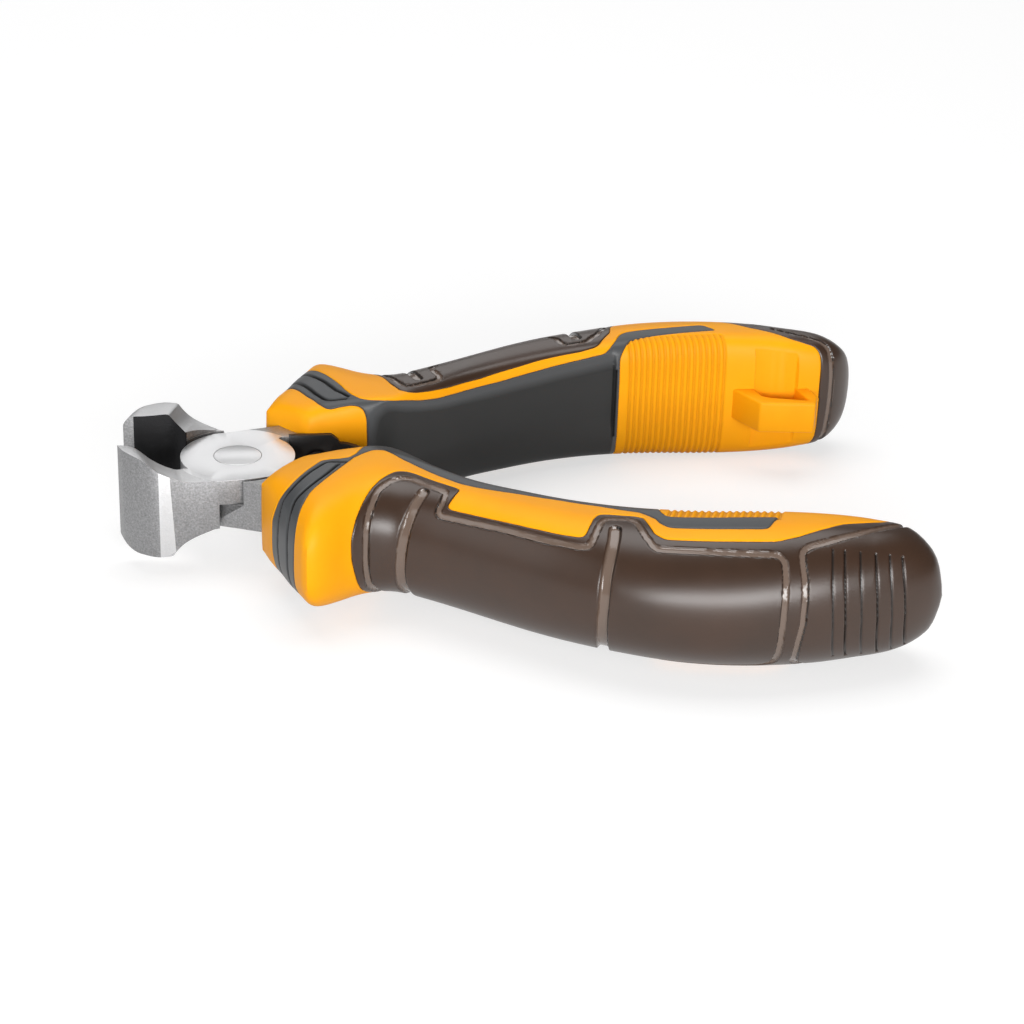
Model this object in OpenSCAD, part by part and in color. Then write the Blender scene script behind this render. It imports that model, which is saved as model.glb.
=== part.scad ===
// End cutting nippers: two forged levers on a flush rivet, with a pair of leaf springs
// and a three material grip on each handle. Millimetres, +Z is the rivet axis, the
// origin is the middle of the joint, the jaws point to -X and the handles to +X.
// Each lever is drawn as it lies in the closed tool and then turned open.

/* [Opening] */
// Half of the angle between the handles, as the tool stands open
open_half_angle = 16.7; // [12:0.1:18]
// Gap between each cutting edge and the middle plane when closed
edge_gap = 0.04; // [0.02:0.01:0.1]

/* [Joint] */
// Radius of the round cheek on each lever
cheek_radius = 7.9; // [7.4:0.1:8.4]
// Thickness of one cheek, half of the joint
cheek_thickness = 3.6; // [3:0.1:4.2]
// Gap between the two cheek faces
face_gap = 0.06; // [0.04:0.01:0.12]
// Gap between a cheek rim and the shoulder of the other lever
rim_gap = 0.8; // [0.5:0.1:1]
// Radius of the rivet shank
rivet_radius = 2.4; // [2:0.1:2.8]
// Radius of the flush rivet head
rivet_head_radius = 3.3; // [3:0.1:3.8]
// Depth of the conical rivet head
rivet_head_depth = 1; // [0.6:0.1:1.4]
// Running clearance of the rivet in its bores
rivet_fit = 0.04; // [0.02:0.01:0.08]

/* [Jaws] */
// Distance from the rivet to the cutting edge
jaw_reach = 16.75; // [15.5:0.05:18]
// Width of the cutting edge along the rivet axis
jaw_width = 14.6; // [13:0.1:16]
// Distance from the middle plane to the side of a jaw, tool closed
jaw_side = 7.5; // [7:0.1:8]
// Depth of the hollow behind the cutting edge
mouth_depth = 2.7; // [2:0.1:3.2]
// Radius of the rounded lower corner at the cutting edge
jaw_corner = 1.8; // [1:0.1:2.4]

/* [Tangs] */
// Width of the tang at its root
tang_width = 4.6; // [4:0.1:5.2]
// Width of the tang at its hidden end
tang_end_width = 3; // [2.4:0.1:3.6]
// Half thickness of the tang inside the grip
tang_half = 2.9; // [2.4:0.1:3.4]
// How far the tang reaches along the tool
tang_reach = 46; // [38:0.5:56]
// Cover of grip over the inner side of the tang
tang_cover = 1.5; // [1.2:0.1:2]
// Clearance between the tang and the grip
tang_fit = 0.05; // [0.03:0.01:0.1]

/* [Springs] */
// Thickness of the spring leaf
leaf_thickness = 0.7; // [0.5:0.05:0.9]
// Width of the spring plate along the rivet axis
leaf_width = 8.2; // [7:0.1:9]
// Width of the free tongue of the leaf
tongue_width = 5.6; // [4.4:0.1:6.4]
// Gap between the leaf and the collar wall behind it
leaf_gap = 0.06; // [0.04:0.01:0.1]
// Radius of the shank of the spring rivet
leaf_rivet_radius = 1; // [0.8:0.05:1.2]
// Radius of the head of the spring rivet
leaf_rivet_head = 1.7; // [1.4:0.1:2]
// Height of the head of the spring rivet
leaf_rivet_height = 0.45; // [0.3:0.05:0.6]

/* [Grips] */
// Where the collar of the grip begins along the tool
grip_start = 7; // [6.6:0.1:7.6]
// Length of the grip along the tool
grip_length = 90.7; // [84:0.1:98]
// Bow of the inner line of a handle away from the middle plane
grip_bow = 9.7; // [9:0.1:11]
// Reach of the outer line of a handle from the middle plane
grip_reach = 24.7; // [23:0.1:27]
// Height of the grip along the rivet axis
grip_height = 19.6; // [18:0.1:21]
// Distance from the flat inner face to the crown of the grip
crown_inset = 5.2; // [4.6:0.1:5.8]
// Thickness of the soft outer skin
outer_skin = 1.3; // [1:0.1:1.6]
// Thickness of the soft inner skin
inner_skin = 1; // [0.8:0.1:1.3]
// Gap around each skin
skin_gap = 0.05; // [0.03:0.01:0.1]
// Number of ribs on the inner pad
rib_count = 16; // [8:1:18]
// Pitch of the ribs on the inner pad
rib_pitch = 0.9; // [0.7:0.05:1]
// Depth of the grooves between the ribs
rib_depth = 0.28; // [0.2:0.02:0.4]
// Depth of the scored lines in the soft skins
score_depth = 0.22; // [0.16:0.02:0.3]
// Depth of the wider grooves in the outer skin
groove_depth = 0.45; // [0.3:0.05:0.6]

/* [Cord loop] */
// Length of the cord loop from its front to the end cap
loop_length = 12; // [11.4:0.1:12.6]
// Length of the sloping front of the loop
loop_slope = 2.5; // [1.8:0.1:3]
// How far the loop stands proud of the inner face
loop_proud = 6; // [5:0.1:6.2]
// Thickness of the bar of the loop
loop_bar = 1.7; // [1.4:0.1:2.2]
// Height of the bar along the rivet axis
loop_height = 4.8; // [4:0.1:6]
// Length of the eye of the loop
eye_length = 6.6; // [5.6:0.1:7]

/* [Hidden] */
$fn = 64;
over = 0.5;

// Stations of the grip: place along it, inner line, outer line, half height and the two
// roundnesses, from the mouth of the collar to the rounded end.
station_at_shares = [0, 0.009, 0.023, 0.042, 0.067, 0.095, 0.117, 0.139, 0.161, 0.183, 0.211,
    0.249, 0.315, 0.393, 0.481, 0.569, 0.657, 0.745, 0.833, 0.9, 0.944, 0.976, 0.994, 1];
inner_line_shares = [1.05, 0.89, 0.64, 0.35, 0.312, 0.23, 0.19, 0.125, 0.095, 0.125, 0.24,
    0.41, 0.68, 0.86, 0.99, 1, 0.92, 0.73, 0.505, 0.33, 0.3, 0.43, 0.6, 0.71];
outer_line_shares = [0.441, 0.494, 0.567, 0.66, 0.785, 0.907, 0.988, 0.923, 0.794, 0.713,
    0.664, 0.672, 0.737, 0.826, 0.927, 0.996, 1, 0.931, 0.789, 0.644, 0.534, 0.441, 0.368,
    0.324];
half_height_shares = [0.51, 0.602, 0.684, 0.735, 0.796, 0.847, 0.878, 0.898, 0.908, 0.898,
    0.888, 0.878, 0.878, 0.898, 0.918, 0.939, 0.98, 1, 0.98, 0.898, 0.786, 0.571, 0.347,
    0.122];
inner_round_shares = [2.5, 3, 4, 5, 5.5, 6, 7, 8, 8, 8, 7, 5.5, 5, 5, 5, 5, 5, 5, 4.5, 4, 3.5,
    3, 2.4, 2.2];
outer_round_shares = [2.5, 2.8, 3, 3, 3, 3, 3, 2.7, 2.5, 2.4, 2.2, 2.1, 2, 2, 2, 2, 2, 2, 2, 2,
    2, 2, 2, 2];
crown_share = 0.42;

// Smooth curve through a table of places and values
function slope_at(xs, ys, i) =
    let (a = max(i - 1, 0), b = min(i + 1, len(xs) - 1)) (ys[b] - ys[a]) / (xs[b] - xs[a]);
function span_of(xs, x, i) = (i >= len(xs) - 2 || x < xs[i + 1]) ? i : span_of(xs, x, i + 1);
function curve(xs, ys, x) =
    let (
        i = span_of(xs, x, 0),
        w = xs[i + 1] - xs[i],
        t = min(max((x - xs[i]) / w, 0), 1),
        p = slope_at(xs, ys, i) * w,
        q = slope_at(xs, ys, i + 1) * w
    )
    ys[i] * (2 * t * t * t - 3 * t * t + 1) + p * (t * t * t - 2 * t * t + t)
        + ys[i + 1] * (3 * t * t - 2 * t * t * t) + q * (t * t * t - t * t);

function inner_y(s) = grip_bow * curve(station_at_shares, inner_line_shares, s);
function outer_y(s) = grip_reach * curve(station_at_shares, outer_line_shares, s);
function half_z(s) = grip_height / 2 * curve(station_at_shares, half_height_shares, s);
function inset(s) = min(crown_inset, (outer_y(s) - inner_y(s)) * crown_share);
function at_x(s) = grip_start + grip_length * s;
function as_share(x) = (x - grip_start) / grip_length;

// Point of the grip surface: share along the grip, angle from the outer side, depth below
function ramp(s, a, b) = min(max((s - a) / (b - a), 0), 1);
front_round_share = 0.06;
end_round_share = 0.93;
function skin_point(s, a, d = 0) =
    let (
        n = cos(a) >= 0 ? curve(station_at_shares, outer_round_shares, s)
            : curve(station_at_shares, inner_round_shares, s),
        w = cos(a) >= 0 ? outer_y(s) - inner_y(s) - inset(s) : inset(s),
        r = pow(pow(abs(cos(a)), n) + pow(abs(sin(a)), n), -1 / n)
    )
    [
        at_x(s) + d * (1 - ramp(s, 0, front_round_share) - ramp(s, end_round_share, 1)),
        inner_y(s) + inset(s) + max(w - d, w * crown_share) * r * cos(a),
        max(half_z(s) - d, half_z(s) * crown_share) * r * sin(a)
    ];

// Borders of the soft skins. The rows of the grip bow back towards its sides, as the
// borders do: a share of the length for each angle, on the plain and the marked side.
bow_plain_shares = [[0, 0], [30, 0.003], [50, 0.008], [70, 0.014], [90, 0.022], [115, 0.028],
    [130, 0.037], [180, 0.045]];
bow_marked_shares = [[0, 0], [30, 0.005], [50, 0.013], [70, 0.027], [90, 0.037], [115, 0.04],
    [130, 0.042], [180, 0.045]];
function bowed(t, a, marked) =
    t + lookup(a, marked ? bow_marked_shares : bow_plain_shares)
        * ramp(t, 0, band_front_share) * (1 - ramp(t, 0.2, 0.3));

band_front_share = 0.023;
inner_start_share = 0.075;
band_back_share = 0.086;
outer_start_share = 0.157;
panel_start_share = 0.292;
panel_end_share = 0.505;
inner_end_share = 0.593;
strip_end_share = 0.757;
cap_share = 0.918;

// Angle of each border at rows along the grip: edge of the panel, edge of the outer skin,
// edge of the inner skin, and inner edge of its strip
panel_angles = [
    [[0, 90], [0.157, 94], [0.25, 98], [0.464, 98], [0.546, 92], [0.581, 66], [0.614, 48],
        [0.777, 49], [0.814, 60], [0.846, 78], [0.885, 92], [0.918, 98], [1, 98]],
    [[0, 60], [0.157, 56], [0.26, 54], [0.292, 53], [0.373, 56], [0.442, 56], [0.505, 58],
        [0.54, 62], [0.588, 55], [0.614, 48], [0.777, 48], [0.821, 54], [0.872, 64],
        [0.918, 92], [1, 92]]];
outer_angles = [
    [[0, 122], [0.157, 126], [0.164, 128], [0.243, 132], [0.373, 134], [0.464, 132],
        [0.546, 125], [0.563, 114], [0.581, 90], [0.588, 78], [0.614, 64], [0.689, 65],
        [0.761, 64], [0.777, 66], [0.814, 80], [0.846, 103], [0.885, 122], [0.918, 131],
        [1, 131]],
    [[0, 79], [0.2, 80], [0.292, 81], [0.505, 86], [0.533, 89], [0.561, 90], [0.588, 76],
        [0.614, 64], [0.761, 64], [0.777, 66], [0.821, 73], [0.872, 86], [0.9, 108],
        [0.918, 124], [1, 124]]];
inner_angles = [
    [[0, 129], [0.086, 131], [0.118, 132], [0.16, 136], [0.26, 141], [0.37, 143], [0.481, 141],
        [0.566, 134], [0.59, 112], [0.609, 94], [0.746, 88], [0.77, 92], [0.8, 98],
        [0.846, 112], [0.885, 126], [0.918, 134], [1, 134]],
    [[0, 95], [0.08, 96], [0.11, 111], [0.225, 113], [0.324, 109], [0.447, 111], [0.506, 108],
        [0.572, 110], [0.598, 88], [0.618, 77], [0.754, 78], [0.79, 84], [0.821, 92],
        [0.872, 106], [0.918, 130], [1, 130]]];
strip_angles = [
    [[0, 150], [0.5, 157], [0.59, 138], [0.613, 120], [0.756, 110], [0.79, 113], [0.846, 122],
        [0.885, 130], [0.918, 138], [1, 138]],
    [[0, 130], [0.5, 140], [0.59, 114], [0.614, 92], [0.761, 94], [0.8, 104], [0.872, 120],
        [0.918, 137], [1, 137]]];

// Columns round the grip: even parts up to the panel edge, then one at each border
panel_parts = 5;
side_cells = panel_parts + 5;
ring_cells = 2 * side_cells;
function is_marked(k) = k > side_cells;
face_corner = 135;
function column_of(k) = is_marked(k) ? ring_cells - k : k;
function cell_column(k) = k < side_cells ? k : ring_cells - 1 - k;
function column_angle(t, k, outer_gap, inner_gap) =
    let (
        m = is_marked(k) ? 1 : 0,
        j = column_of(k),
        panel = lookup(t, panel_angles[m]) - outer_gap,
        inner_sign = t < (inner_start_share + band_back_share) / 2 ? -1 : 1,
        strip = lookup(t, strip_angles[m]) - (t < inner_end_share ? 0 : inner_gap)
    )
    j <= panel_parts ? panel * j / panel_parts
        : j == panel_parts + 1 ? lookup(t, outer_angles[m]) - outer_gap
        : j == panel_parts + 2 ? lookup(t, inner_angles[m]) + inner_sign * inner_gap
        : j == panel_parts + 3 ? strip
        : j == panel_parts + 4 ? (t > inner_end_share && strip < face_corner ? face_corner + 1
            : (strip + 180) / 2)
        : 180;

function in_outer(t, k) =
    let (j = cell_column(k), panel = t >= panel_start_share && t < panel_end_share)
    t >= cap_share || (t >= outer_start_share
        && (j < panel_parts || (j == panel_parts && !(panel && k >= side_cells))));
function in_inner(t, k) =
    let (j = cell_column(k))
    (t >= band_front_share && t < band_back_share && j <= panel_parts + 1)
        || (t >= inner_start_share && t < inner_end_share && j >= panel_parts + 2)
        || (t >= inner_end_share && t < strip_end_share && j == panel_parts + 2);

// Rows along the grip: share, side to which a skin draws back its border, depth of a groove
core_rows = [[0, 0, 0], [0.005, 0, 0], [0.009, 0, 0], [0.014, 0, 0], [0.018, 0, 0],
    [band_front_share, 1, 0], [0.04, 0, 0], [0.058, 0, 0], [inner_start_share, 1, 0],
    [band_back_share, -1, 0], [0.105, 0, 0], [0.13, 0, 0], [outer_start_share, 1, 0],
    [0.178, 0, 0], [0.2, 0, 0], [0.23, 0, 0], [0.262, 0, 0], [panel_start_share, -1, 0],
    [0.335, 0, 0], [0.39, 0, 0], [0.45, 0, 0], [panel_end_share, 1, 0], [0.54, 0, 0],
    [0.566, 0, 0], [0.581, 0, 0], [inner_end_share, -1, 0], [0.606, 0, 0], [0.62, 0, 0],
    [0.66, 0, 0], [0.71, 0, 0], [strip_end_share, -1, 0], [0.785, 0, 0], [0.814, 0, 0],
    [0.846, 0, 0], [0.872, 0, 0], [0.9, 0, 0], [cap_share, 1, 0], [0.944, 0, 0],
    [0.966, 0, 0], [0.982, 0, 0], [0.994, 0, 0], [1, 0, 0]];
score_width_share = 0.003;
function scored(at_share, depth = score_depth) = [
    [at_share - score_width_share, 0, 0], [at_share, 0, depth],
    [at_share + score_width_share, 0, 0]];
outer_rows = [[0, 0, 0], [outer_start_share, 1, 0], each scored(0.178), [0.2, 0, 0],
    each scored(0.224, groove_depth), [0.262, 0, 0], [panel_start_share, -1, 0],
    [0.335, 0, 0], [0.39, 0, 0], [0.45, 0, 0], [panel_end_share, 1, 0],
    each scored(0.54, groove_depth), [0.566, 0, 0], [0.581, 0, 0], [inner_end_share, 0, 0],
    [0.606, 0, 0], [0.62, 0, 0], [0.66, 0, 0], [0.71, 0, 0], [strip_end_share, 0, 0],
    each scored(0.78), each scored(0.815), each scored(0.85), each scored(0.869),
    each scored(0.889), each scored(0.906), [cap_share, 1, 0], each scored(0.927),
    each scored(0.945), [0.966, 0, 0], [0.982, 0, 0], [0.994, 0, 0], [1, 0, 0]];
inner_rows = [[0, 0, 0], [band_front_share, 1, 0], each scored(0.035), [0.058, 0, 0],
    each scored(0.068), [inner_start_share, 1, 0], [band_back_share, -1, 0], [0.105, 0, 0],
    [0.13, 0, 0], [outer_start_share, 0, 0], [0.178, 0, 0], [0.2, 0, 0], [0.23, 0, 0],
    [0.262, 0, 0], [panel_start_share, 0, 0], [0.335, 0, 0], [0.39, 0, 0], [0.45, 0, 0],
    [panel_end_share, 0, 0], [0.54, 0, 0], [0.566, 0, 0], [0.581, 0, 0],
    [inner_end_share, -1, 0], [0.606, 0, 0], [0.62, 0, 0], [0.66, 0, 0], [0.71, 0, 0],
    [strip_end_share, -1, 0], [0.785, 0, 0]];

// Grid of points at one depth. A skin draws back from its border by the skin gap.
groove_span = 95;
function row_points(row, depth, gap, outer) =
    let (
        t = row[0] + row[1] * gap / grip_length,
        turn = asin(gap / grip_height)
    )
    [for (k = [0 : ring_cells - 1])
        let (a = column_angle(t, k, outer ? turn : 0, outer ? 0 : turn),
            dip = depth == 0 && a < groove_span ? row[2] : 0)
        skin_point(bowed(t, a, is_marked(k)), is_marked(k) ? -a : a, depth + dip)];

// Faces between two grids of points: a face for each cell, and a wall where levels differ
function corner_of(rows, level, i, k) = (level * len(rows) + i) * ring_cells + k % ring_cells;
function cell_faces(rows, level, i, k) =
    let (
        a = corner_of(rows, level, i, k),
        b = corner_of(rows, level, i, k + 1),
        c = corner_of(rows, level, i + 1, k),
        e = corner_of(rows, level, i + 1, k + 1)
    )
    [[a, c, b], [b, c, e]];
function flipped(faces) = [for (f = faces) [f[2], f[1], f[0]]];
function wall_faces(p, q, u, v) = [[p[u], q[u], q[v]], [p[u], q[v], p[v]]];
function corner_set(rows, i, k) = [for (level = [0 : 2]) corner_of(rows, level, i, k)];
function all_walls(rows, levels) = concat(
    [for (i = [0 : len(rows) - 2]) for (k = [0 : ring_cells - 1])
        let (left = levels[i][(k + ring_cells - 1) % ring_cells], right = levels[i][k])
        if (left != right)
            each wall_faces(corner_set(rows, i, k), corner_set(rows, i + 1, k), left, right)],
    [for (i = [1 : len(rows) - 2]) for (k = [0 : ring_cells - 1])
        let (before = levels[i - 1][k], after = levels[i][k])
        if (before != after)
            each wall_faces(corner_set(rows, i, k + 1), corner_set(rows, i, k), before, after)]);
function ring_face(rows, level, i) = [for (k = [0 : ring_cells - 1]) corner_of(rows, level, i, k)];
function reversed(list) = [for (i = [len(list) - 1 : -1 : 0]) list[i]];

// Body of the grip, sunk where the two soft skins lie on it
module core_shell() {
    rows = core_rows;
    last = len(rows) - 1;
    levels = [for (i = [0 : last - 1]) [for (k = [0 : ring_cells - 1])
        in_outer(rows[i][0], k) ? 1 : in_inner(rows[i][0], k) ? 2 : 0]];
    points = [for (depth = [0, outer_skin, inner_skin]) for (row = rows)
        each row_points(row, depth, 0, true)];
    faces = [for (i = [0 : last - 1]) for (k = [0 : ring_cells - 1])
        each cell_faces(rows, levels[i][k], i, k)];
    polyhedron(points, concat(faces, all_walls(rows, levels),
        [ring_face(rows, 0, 0), reversed(ring_face(rows, 1, last))]), convexity = 8);
}

// Soft skin over the cells of one region, its inner face just clear of the body
module skin_shell(rows, outer) {
    last = len(rows) - 1;
    thick = (outer ? outer_skin : inner_skin) - skin_gap;
    levels = [for (i = [0 : last - 1]) [for (k = [0 : ring_cells - 1])
        (outer ? in_outer(rows[i][0], k) : in_inner(rows[i][0], k)) ? 0 : 1]];
    points = [for (depth = [0, thick]) for (row = rows) each row_points(row, depth, skin_gap, outer)];
    faces = [for (i = [0 : last - 1]) for (k = [0 : ring_cells - 1]) if (levels[i][k] == 0)
        each concat(cell_faces(rows, 0, i, k), flipped(cell_faces(rows, 1, i, k)))];
    ends = outer ? [reversed(ring_face(rows, 0, last)), ring_face(rows, 1, last)] : [];
    polyhedron(points, concat(faces, all_walls(rows, levels), ends), convexity = 8);
}

// Outline of a jaw beside the middle plane: shares of the reach and of the side distance
jaw_side_shares = [[1, 0], [0.98, 0.21], [0.937, 0.41], [0.872, 0.6], [0.788, 0.75],
    [0.728, 0.815], [0.687, 0.847], [0.651, 0.864], [0.46, 0.913], [0.263, 0.98],
    [0.2, 0.7], [0.3, 0.35]];
// Hollow behind the edge: shares of the reach and of the hollow's depth
mouth_shares = [[0.49, 0.81], [0.549, 0.96], [0.621, 0.98], [0.693, 0.81], [0.77, 0.52],
    [0.848, 0.28], [0.931, 0.1]];
// Height of the jaw over and under the cheek: shares of the reach and of the extra height
jaw_top_shares = [[0, 0], [0.46, 0], [0.55, 0.05], [0.609, 0.16], [0.68, 0.3], [0.758, 0.49],
    [0.82, 0.72], [0.872, 0.88], [0.93, 0.96], [1.02, 1]];
jaw_under_shares = [[0, 0], [0.28, 0], [0.352, 0.08], [0.43, 0.216], [0.5, 0.36],
    [0.555, 0.514], [0.6, 0.69], [0.633, 0.865], [0.65, 0.96], [0.67, 1]];
beyond = 2 * grip_reach;
jaw_rise = jaw_width / 2 - cheek_thickness;
shoulder_radius = cheek_radius + rim_gap;
rivet_bore = rivet_radius + rivet_fit;
corner_step = 15;

// Tang, from its shoulder beside the cheek to its hidden end
tang_shoulder_share = 1.02;
root_back_share = 0.995;
root_front_share = 0.94;
tang_row_shares = [0.06, 0.1, 0.13, 0.16, 0.2, 0.25, 0.3, 0.36, 0.43];
tang_scale = (tang_reach - grip_start) / grip_length / tang_row_shares[8];
function tang_in(s) = inner_y(s) + tang_cover;
function tang_wide(s) = tang_width + (tang_end_width - tang_width) * s / tang_row_shares[8];
tang_rows = [for (k = tang_row_shares) k * tang_scale];

module tang_area(gap = 0) {
    offset(delta = gap)
        polygon(concat(
            [for (s = tang_rows) [at_x(s), tang_in(s)]],
            [for (i = [len(tang_rows) - 1 : -1 : 0])
                [at_x(tang_rows[i]), tang_in(tang_rows[i]) + tang_wide(tang_rows[i])]]));
}

module root_area(gap = 0) {
    neck_share = tang_rows[0];
    neck = at_x(neck_share) + over;
    offset(delta = gap)
        polygon([
            [-cheek_radius * crown_share / 2, cheek_radius * root_back_share],
            [cheek_radius * root_front_share, cheek_radius * tang_shoulder_share],
            [neck, tang_in(neck_share) + tang_wide(neck_share)],
            [neck, tang_in(neck_share)],
            beside_wall(wall_a[0]),
            beside_wall(cheek_radius * root_front_share),
            [0, 0]
        ]);
}

module jaw_area() {
    translate([0, -edge_gap])
        polygon(concat(
            [for (p = jaw_side_shares) [-jaw_reach * p[0], -jaw_side * p[1]]],
            [for (p = mouth_shares) [-jaw_reach * p[0], -mouth_depth * p[1]]]));
}

module jaw_profile() {
    tip = -jaw_reach;
    polygon(concat(
        [for (p = jaw_top_shares) [-jaw_reach * p[0], cheek_thickness + jaw_rise * p[1]]],
        [for (t = [0 : corner_step : 90])
            [tip - edge_gap + jaw_corner * (1 - cos(t)),
            -jaw_width / 2 + jaw_corner * (1 - sin(t))]],
        [for (i = [len(jaw_under_shares) - 1 : -1 : 0])
            [-jaw_reach * jaw_under_shares[i][0],
            -cheek_thickness - jaw_rise * jaw_under_shares[i][1]]]));
}

module jaw_block() {
    intersection() {
        translate([0, 0, -jaw_width])
            linear_extrude(2 * jaw_width)
                jaw_area();
        translate([0, beyond / 2, 0])
            rotate([90, 0, 0])
                linear_extrude(beyond)
                    jaw_profile();
    }
}

// Hole of the spring rivet, along the line square to the collar wall
module on_wall() {
    translate([wall_a[0], wall_a[1], 0])
        rotate([0, 0, wall_turn])
            translate([leaf_rivet_at, 0, 0])
                rotate([90, 0, 0])
                    children();
}

module lever_form() {
    difference() {
        union() {
            difference() {
                union() {
                    jaw_block();
                    translate([0, 0, -cheek_thickness])
                        linear_extrude(2 * cheek_thickness)
                            root_area();
                    translate([0, 0, -tang_half])
                        linear_extrude(2 * tang_half)
                            tang_area();
                }
                translate([0, 0, face_gap / 2 - jaw_width])
                    cylinder(r = shoulder_radius, h = jaw_width);
            }
            translate([0, 0, face_gap / 2])
                cylinder(r = cheek_radius, h = cheek_thickness - face_gap / 2);
        }
        translate([0, 0, -over])
            cylinder(r = rivet_bore, h = cheek_thickness + 2 * over);
        translate([0, 0, cheek_thickness - rivet_head_depth])
            cylinder(r1 = rivet_bore, r2 = rivet_head_radius + rivet_fit, h = rivet_head_depth);
        translate([0, 0, cheek_thickness])
            cylinder(r = rivet_head_radius + rivet_fit, h = over);
        on_wall()
            translate([0, 0, -leaf_rivet_length])
                cylinder(r = leaf_rivet_radius + rivet_fit, h = leaf_rivet_length + over);
    }
}

// Leaf spring along the inner wall of the collar, with its tongue out to the middle
wall_a_share = 0.042;
wall_b_share = 0.095;
wall_a = [at_x(wall_a_share), inner_y(wall_a_share)];
wall_b = [at_x(wall_b_share), inner_y(wall_b_share)];
wall_turn = atan2(wall_b[1] - wall_a[1], wall_b[0] - wall_a[0]);
wall_length = norm(wall_b - wall_a);
leaf_front_share = 0.5;
leaf_rivet_share = 0.3;
leaf_bend_share = 0.88;
tongue_share = 0.86;
tongue_lead_share = 0.45;
tip_rise_share = 0.75;
tip_lift_shares = [-0.1, 0.42];
leaf_front = wall_length * leaf_front_share;
leaf_rivet_at = wall_length * leaf_rivet_share;
leaf_rivet_length = leaf_gap + leaf_thickness + tang_cover * 2;
leaf_away = leaf_gap + leaf_thickness / 2;
wall_way = [cos(wall_turn), sin(wall_turn)];
wall_in = [sin(wall_turn), -cos(wall_turn)];
leaf_root = wall_a - leaf_front * wall_way + leaf_away * wall_in;
leaf_bend = wall_a + wall_length * leaf_bend_share * wall_way + leaf_away * wall_in;
function beside_wall(x) = wall_a + (x - wall_a[0]) / wall_way[0] * wall_way - tang_fit * wall_in;
function turned(p, a) = [p[0] * cos(a) - p[1] * sin(a), p[0] * sin(a) + p[1] * cos(a)];
leaf_tip_x = leaf_bend[0] + wall_length * tongue_share;
leaf_tip = turned([leaf_tip_x, leaf_thickness * tip_rise_share], -open_half_angle);
leaf_lift = turned(wall_length * tip_lift_shares, -open_half_angle);
leaf_lead = wall_length * tongue_lead_share * wall_way;
bend_steps = 10;
function bezier(a, b, c, d, t) =
    a * pow(1 - t, 3) + b * 3 * t * pow(1 - t, 2) + c * 3 * t * t * (1 - t) + d * pow(t, 3);
tongue_line = [for (i = [0 : bend_steps])
    bezier(leaf_bend, leaf_bend + leaf_lead, leaf_tip + leaf_lift, leaf_tip, i / bend_steps)];

// Strip of a given thickness along a line of points
function side_of(p, i) =
    let (a = p[max(i - 1, 0)], b = p[min(i + 1, len(p) - 1)], d = (b - a) / norm(b - a))
    [-d[1], d[0]];
module strip(line, thickness) {
    polygon(concat(
        [for (i = [0 : len(line) - 1]) line[i] + side_of(line, i) * thickness / 2],
        [for (i = [len(line) - 1 : -1 : 0]) line[i] - side_of(line, i) * thickness / 2]));
}

module leaf_form() {
    difference() {
        union() {
            translate([0, 0, -leaf_width / 2])
                linear_extrude(leaf_width)
                    strip([leaf_root, leaf_bend], leaf_thickness);
            translate([0, 0, -tongue_width / 2])
                linear_extrude(tongue_width)
                    strip(tongue_line, leaf_thickness);
        }
        on_wall()
            translate([0, 0, -over])
                cylinder(r = leaf_rivet_radius + rivet_fit, h = leaf_thickness + 2 * over);
    }
}

head_top_share = 0.8;
module leaf_rivet_form() {
    seat = leaf_gap + leaf_thickness + leaf_gap / 2;
    on_wall() {
        translate([0, 0, seat - leaf_rivet_length])
            cylinder(r = leaf_rivet_radius, h = leaf_rivet_length + over / 10);
        translate([0, 0, seat])
            cylinder(r1 = leaf_rivet_head, r2 = leaf_rivet_head * head_top_share, h = leaf_rivet_height);
    }
}

module rivet_form() {
    shank = cheek_thickness - rivet_head_depth;
    rotate_extrude()
        polygon([
            [0, -cheek_thickness],
            [rivet_head_radius, -cheek_thickness],
            [rivet_radius, -shank],
            [rivet_radius, shank],
            [rivet_head_radius, cheek_thickness],
            [0, cheek_thickness]
        ]);
}

// Grooves between the ribs of the inner pad
pad_lead_share = 1.5;
groove_high_share = 0.8;
module pad_grooves() {
    for (i = [0 : rib_count]) {
        x = at_x(inner_end_share) + (i + pad_lead_share) * rib_pitch;
        high = half_z(as_share(x)) * groove_high_share;
        translate([x, inner_y(as_share(x)), -high])
            rotate([0, 0, 45])
                translate([-rib_depth, -rib_depth, 0])
                    cube([2 * rib_depth, 2 * rib_depth, 2 * high]);
    }
}

loop_start = at_x(cap_share) - loop_length;
eye_lead_share = 0.25;
channel_share = 0.6;
loop_end_share = 0.84;
loop_top = inner_y(as_share(loop_start)) - loop_proud;
eye_start = loop_start + loop_slope + loop_bar * eye_lead_share;
eye_end = eye_start + eye_length;
channel_floor = inner_skin * channel_share;
module loop_area() {
    difference() {
        polygon([
            [loop_start, inner_y(as_share(loop_start)) + inner_skin],
            [loop_start, inner_y(as_share(loop_start))],
            [loop_start + loop_slope, loop_top],
            [eye_end, inner_y(as_share(eye_end)) - loop_proud],
            [at_x(cap_share), inner_y(cap_share) - loop_proud * loop_end_share],
            [at_x(cap_share), inner_y(cap_share) + inner_skin]
        ]);
        eye_area();
    }
}
module eye_area() {
    polygon([
        [eye_start, inner_y(as_share(eye_start)) + channel_floor],
        [eye_start, loop_top + loop_bar + loop_bar / 2],
        [eye_start + loop_bar / 2, loop_top + loop_bar],
        [eye_end, inner_y(as_share(eye_end)) - loop_proud + loop_bar],
        [eye_end, inner_y(as_share(eye_end)) + channel_floor]
    ]);
}
module channel_area() {
    polygon([
        [eye_start, inner_y(as_share(eye_start)) + channel_floor],
        [eye_start, -grip_bow],
        [eye_end, -grip_bow],
        [eye_end, inner_y(as_share(eye_end)) + channel_floor]
    ]);
}

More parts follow.
